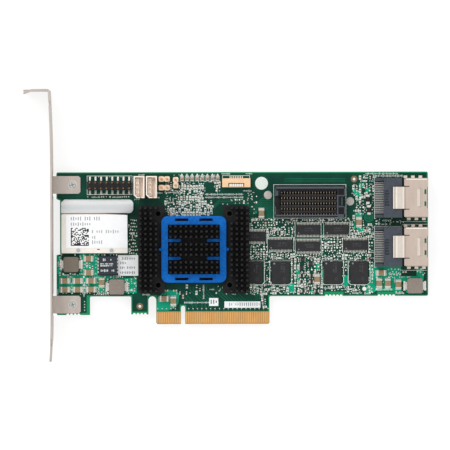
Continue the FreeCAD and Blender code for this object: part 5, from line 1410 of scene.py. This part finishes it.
def labelPrint():
    # rows on each label: pixel, count, height and seed; code: a field of random cells, edged on two sides
    look = {
        "product_label": [(71.5, 218.6, 13, 1.75, 81), (71.5, 224.2, 9, 1.75, 82),
                          (92.6, 231.6, 12, 1.75, 83), (92.8, 237.4, 2, 1.6, 84), (92.8, 242.2, 5, 1.7, 85)],
        "part_label": [(120.6, 258.6, 9, 1.3, 91), (120.6, 263.0, 4, 1.2, 92), (120.6, 267.6, 9, 1.3, 93),
                       (120.6, 272.6, 9, 1.3, 94)],
        "revision_label": [(211.2, 301.8, 3, 1.9, 95)],
        "strip_label": [(229.5, 304.4, 16, 1.6, 96)],
        "codeFrom": (71, 227.4), "codeTo": (89, 245.8), "cells": 18, "filled": 0.46, "seed": 17,
    }
    light, dark = Shape(), Shape()
    z = boxOf("product_label")[1].z
    luck = random.Random(look["seed"])
    (left, top), (right, low) = fromPixel(*look["codeFrom"]), fromPixel(*look["codeTo"])
    cells = look["cells"]
    size = (right - left) / cells
    for i in range(cells):
        for j in range(cells):
            edge = i == 0 or j == 0
            if edge or luck.random() < look["filled"]:
                dark.block(left + (i + 0.5) * size, low + (j + 0.5) * size, size, size, *ink(z))
    for label, shape, mark, fill in (("product_label", light, 0, 0.26), ("part_label", dark, 1, 0.26),
                                     ("revision_label", dark, 1, 0.26), ("strip_label", light, 0, 0.24)):
        z = boxOf(label)[1].z
        for px, py, count, height, seed in look[label]:
            strokes(shape, *fromPixel(px, py), count, height, z, mark, 0, seed, fill)
    light.piece("label_print", ["printGrey"], "label_paper")
    dark.piece("label_code", ["printBlack", "printMiddle"], "label_paper")


labelPrint()


def coverDetails():
    # two rivets and a mark below the label, and the shaded gap between the label and the bar, in pixels
    look = {"rivets": [(78.4, 250.4), (111.7, 250.4)], "rim": (0.85, 1.3),
            "cap": [(0.86, -0.02), (0.86, 0.04), (0.5, 0.12)], "mark": (98.6, 249.4), "markSize": (1.2, 0.4),
            "gap": [(100, 213.7), (127.2, 214.9), (127.2, 213.2)]}
    top = boxOf("cover_base")[1].z
    parts = Shape()
    for pixel in look["rivets"]:
        x, y = fromPixel(*pixel)
        parts.ring(x, y, *look["rim"], top - bite, top + 0.18, 28)
        parts.turned(x, y, [(radius, top + rise) for radius, rise in look["cap"]], 24, 1)
    parts.block(*fromPixel(*look["mark"]), *look["markSize"], top - bite, top + 0.012, 2)
    parts.prism([fromPixel(*pixel) for pixel in look["gap"]], top - bite, top + 0.012, 2)
    parts.piece("cover_rivets", ["palePlastic", "solderCoat", "paintedShadeAndDarkMark"], "pale_plastic")


coverDetails()


def plugBevel():
    # the sloped lower edge of the edge connector, where the gold ends, on both sides of the key
    look = {"runs": [(-11.5, -0.97), (0.97, 38.5)],
            "side": [(0.01, -0.3), (0.01, -0.27), (0.5, 0.03), (0.5, 0)]}
    bevel = Shape()
    for s in (-1, 1):
        outline = [(y, s * faceZ + s * rise) for y, rise in look["side"]]
        for x0, x1 in look["runs"]:
            bevel.bar(x0, x1, outline[::s])
    bevel.piece("plug_bevel", ["plugEdge"], "board_laminate")


plugBevel()


# Solder side: joints of the pins and tails that come through, tracks and vias

def solderJoints():
    look = {"joint": [(0.42, -0.6), (0.85, -0.1), (0.95, 0)], "tails": (102.5, 109.1), "tailAt": 8.775,
            "fillet": [(0.62, 0.2, -0.7), (1.1, 0.6, 0)]}
    corners = ((-1, -1), (1, -1), (1, 1), (-1, 1))
    joints = Shape()
    for node in ("wire_socket_pins", "jumper_pins"):
        for low, high in solidsOf(node):
            profile = [(0.3, low.z - 0.02)] + [(radius, backZ + rise) for radius, rise in look["joint"]]
            joints.turned(*midOf(low, high), profile, 16)
    for node in ("upper_port_cage", "lower_port_cage"):
        middleY = midOf(*boxOf(node))[1]
        for x in look["tails"]:
            for s in (-1, 1):
                y = middleY + s * look["tailAt"]
                joints.stack([[(x + sx * w, y + sy * h, backZ + z) for sx, sy in corners]
                              for w, h, z in look["fillet"]])
    joints.piece("solder_joints", ["brightTin"], "tin_plating", smooth=True)


def backTracks():
    look = {"seed": 23, "vias": 420, "via": 0.24, "tracks": 60, "width": 0.18, "viaX": (-50, 109),
            "viaY": (14.5, 67), "trackX": (-40, 96), "trackY": (16, 62), "run": (4, 14), "bend": (1, 4)}
    back = Shape()
    luck = random.Random(look["seed"])
    z = backZ - boardLook["maskLift"]
    for _ in range(look["vias"]):
        x, y = luck.uniform(*look["viaX"]), luck.uniform(*look["viaY"])
        back.disc(x, y, look["via"], z - 0.02, z + 0.02, 8)
    for _ in range(look["tracks"]):
        x, y, run = luck.uniform(*look["trackX"]), luck.uniform(*look["trackY"]), luck.uniform(*look["run"])
        bend = luck.choice((-1, 1)) * luck.uniform(*look["bend"])
        back.strip([(x, y), (x + run, y), (x + run + abs(bend), y + bend)], look["width"], z - 0.012,
                   z + 0.02, 1)
    back.piece("back_tracks_and_vias", ["brightTin", "maskOverTrack"], "board_laminate")


solderJoints()
backTracks()
print("print and solder side made")

tiny.piece("small_chip_parts", ["brightTin", "tanCeramic", "glaze", "brownCeramic"], "tin_plating")
pads.piece("test_pads", ["brightTin"], "tin_plating")
vias.piece("vias", ["brightTin", "paintedShadeAndDarkMark"], "tin_plating")
printed.piece("board_print", ["silk"], "board_laminate")
print("board details made")


# Studio

studioLook = {
    "distance": 2200.0, "sensor": 36.0, "floorGap": 0.4, "floorSize": 3000.0, "worldStrength": 0.74,
    "lampSize": 0.9, "floorColour": (0.28, 0.28, 0.28, 1), "floorGlow": 0.79,
    "lamps": {"key": ((-0.75, 0.85, 1.35), 11.5), "fill": ((0.95, -0.7, 1.3), 4.5)},
}


def aimAt(thing, target):
    thing.rotation_euler = (Vector(target) - thing.location).to_track_quat("-Z", "Y").to_euler()


def showsWhite(tree):
    # 1 for the rays of the camera, of gloss and of glass
    rays = addNode(tree, "ShaderNodeLightPath", {})
    first = addNode(tree, "ShaderNodeMath", {0: rays["Is Camera Ray"], 1: rays["Is Glossy Ray"]},
                    operation="MAXIMUM")[0]
    return addNode(tree, "ShaderNodeMath", {0: first, 1: rays["Is Transmission Ray"]}, operation="MAXIMUM")[0]


def studio():
    look = studioLook
    scene = bpy.context.scene
    size, scale, turn = photoMap["size"], photoMap["pixelsPerMm"], photoMap["turn"]
    centre = Vector(fromPixel(size / 2, size / 2) + (faceZ,)) * mm
    camera = bpy.data.cameras.new("camera")
    camera.sensor_width = look["sensor"]
    camera.lens = look["sensor"] * look["distance"] * scale / size
    camera.clip_end = 20.0
    holder = bpy.data.objects.new("camera", camera)
    holder.location = centre + Vector((0, 0, look["distance"] * mm))
    holder.rotation_euler = (0, 0, -turn)
    scene.collection.objects.link(holder)
    scene.camera = holder
    scene.view_settings.view_transform = "Standard"

    for name, (place, power) in look["lamps"].items():
        lamp = bpy.data.lights.new(name, "AREA")
        lamp.energy = power
        lamp.size = look["lampSize"]
        stand = bpy.data.objects.new(name, lamp)
        stand.location = centre + Vector(place)
        scene.collection.objects.link(stand)
        aimAt(stand, centre)

    world = bpy.data.worlds.new("studio")
    scene.world = world
    world.use_nodes = True
    tree = world.node_tree
    ground = tree.nodes["Background"]
    ground.inputs["Color"].default_value = (1, 1, 1, 1)
    ground.inputs["Strength"].default_value = look["worldStrength"]
    white = addNode(tree, "ShaderNodeBackground", {"Color": (1, 1, 1, 1), "Strength": 1.0})[0]
    mixed = addNode(tree, "ShaderNodeMixShader", {0: showsWhite(tree), 1: ground.outputs[0], 2: white})[0]
    tree.links.new(mixed, tree.nodes["World Output"].inputs["Surface"])

    floorMaterial = bpy.data.materials.new("studioFloor")
    floorMaterial.use_nodes = True
    tree = floorMaterial.node_tree
    tree.nodes.clear()
    cloth = addNode(tree, "ShaderNodeBsdfDiffuse", {"Color": look["floorColour"]})[0]
    glow = addNode(tree, "ShaderNodeEmission", {"Strength": look["floorGlow"]})[0]
    dark = addNode(tree, "ShaderNodeBsdfTransparent", {"Color": (0, 0, 0, 1)})[0]
    pick = addNode(tree, "ShaderNodeMixShader", {0: showsWhite(tree), 1: dark, 2: glow})[0]
    both = addNode(tree, "ShaderNodeAddShader", {0: cloth, 1: pick})[0]
    addNode(tree, "ShaderNodeOutputMaterial", {"Surface": both})
    half = look["floorSize"] / 2 * mm
    z = (cadBox[0].z / mm - look["floorGap"]) * mm
    mesh = bpy.data.meshes.new("floor")
    corners = [(-half, -half, z), (half, -half, z), (half, half, z), (-half, half, z)]
    mesh.from_pydata(corners, [], [(0, 1, 2, 3)])
    mesh.materials.append(floorMaterial)
    floor = bpy.data.objects.new("floor", mesh)
    scene.collection.objects.link(floor)


studio()
print("studio made")
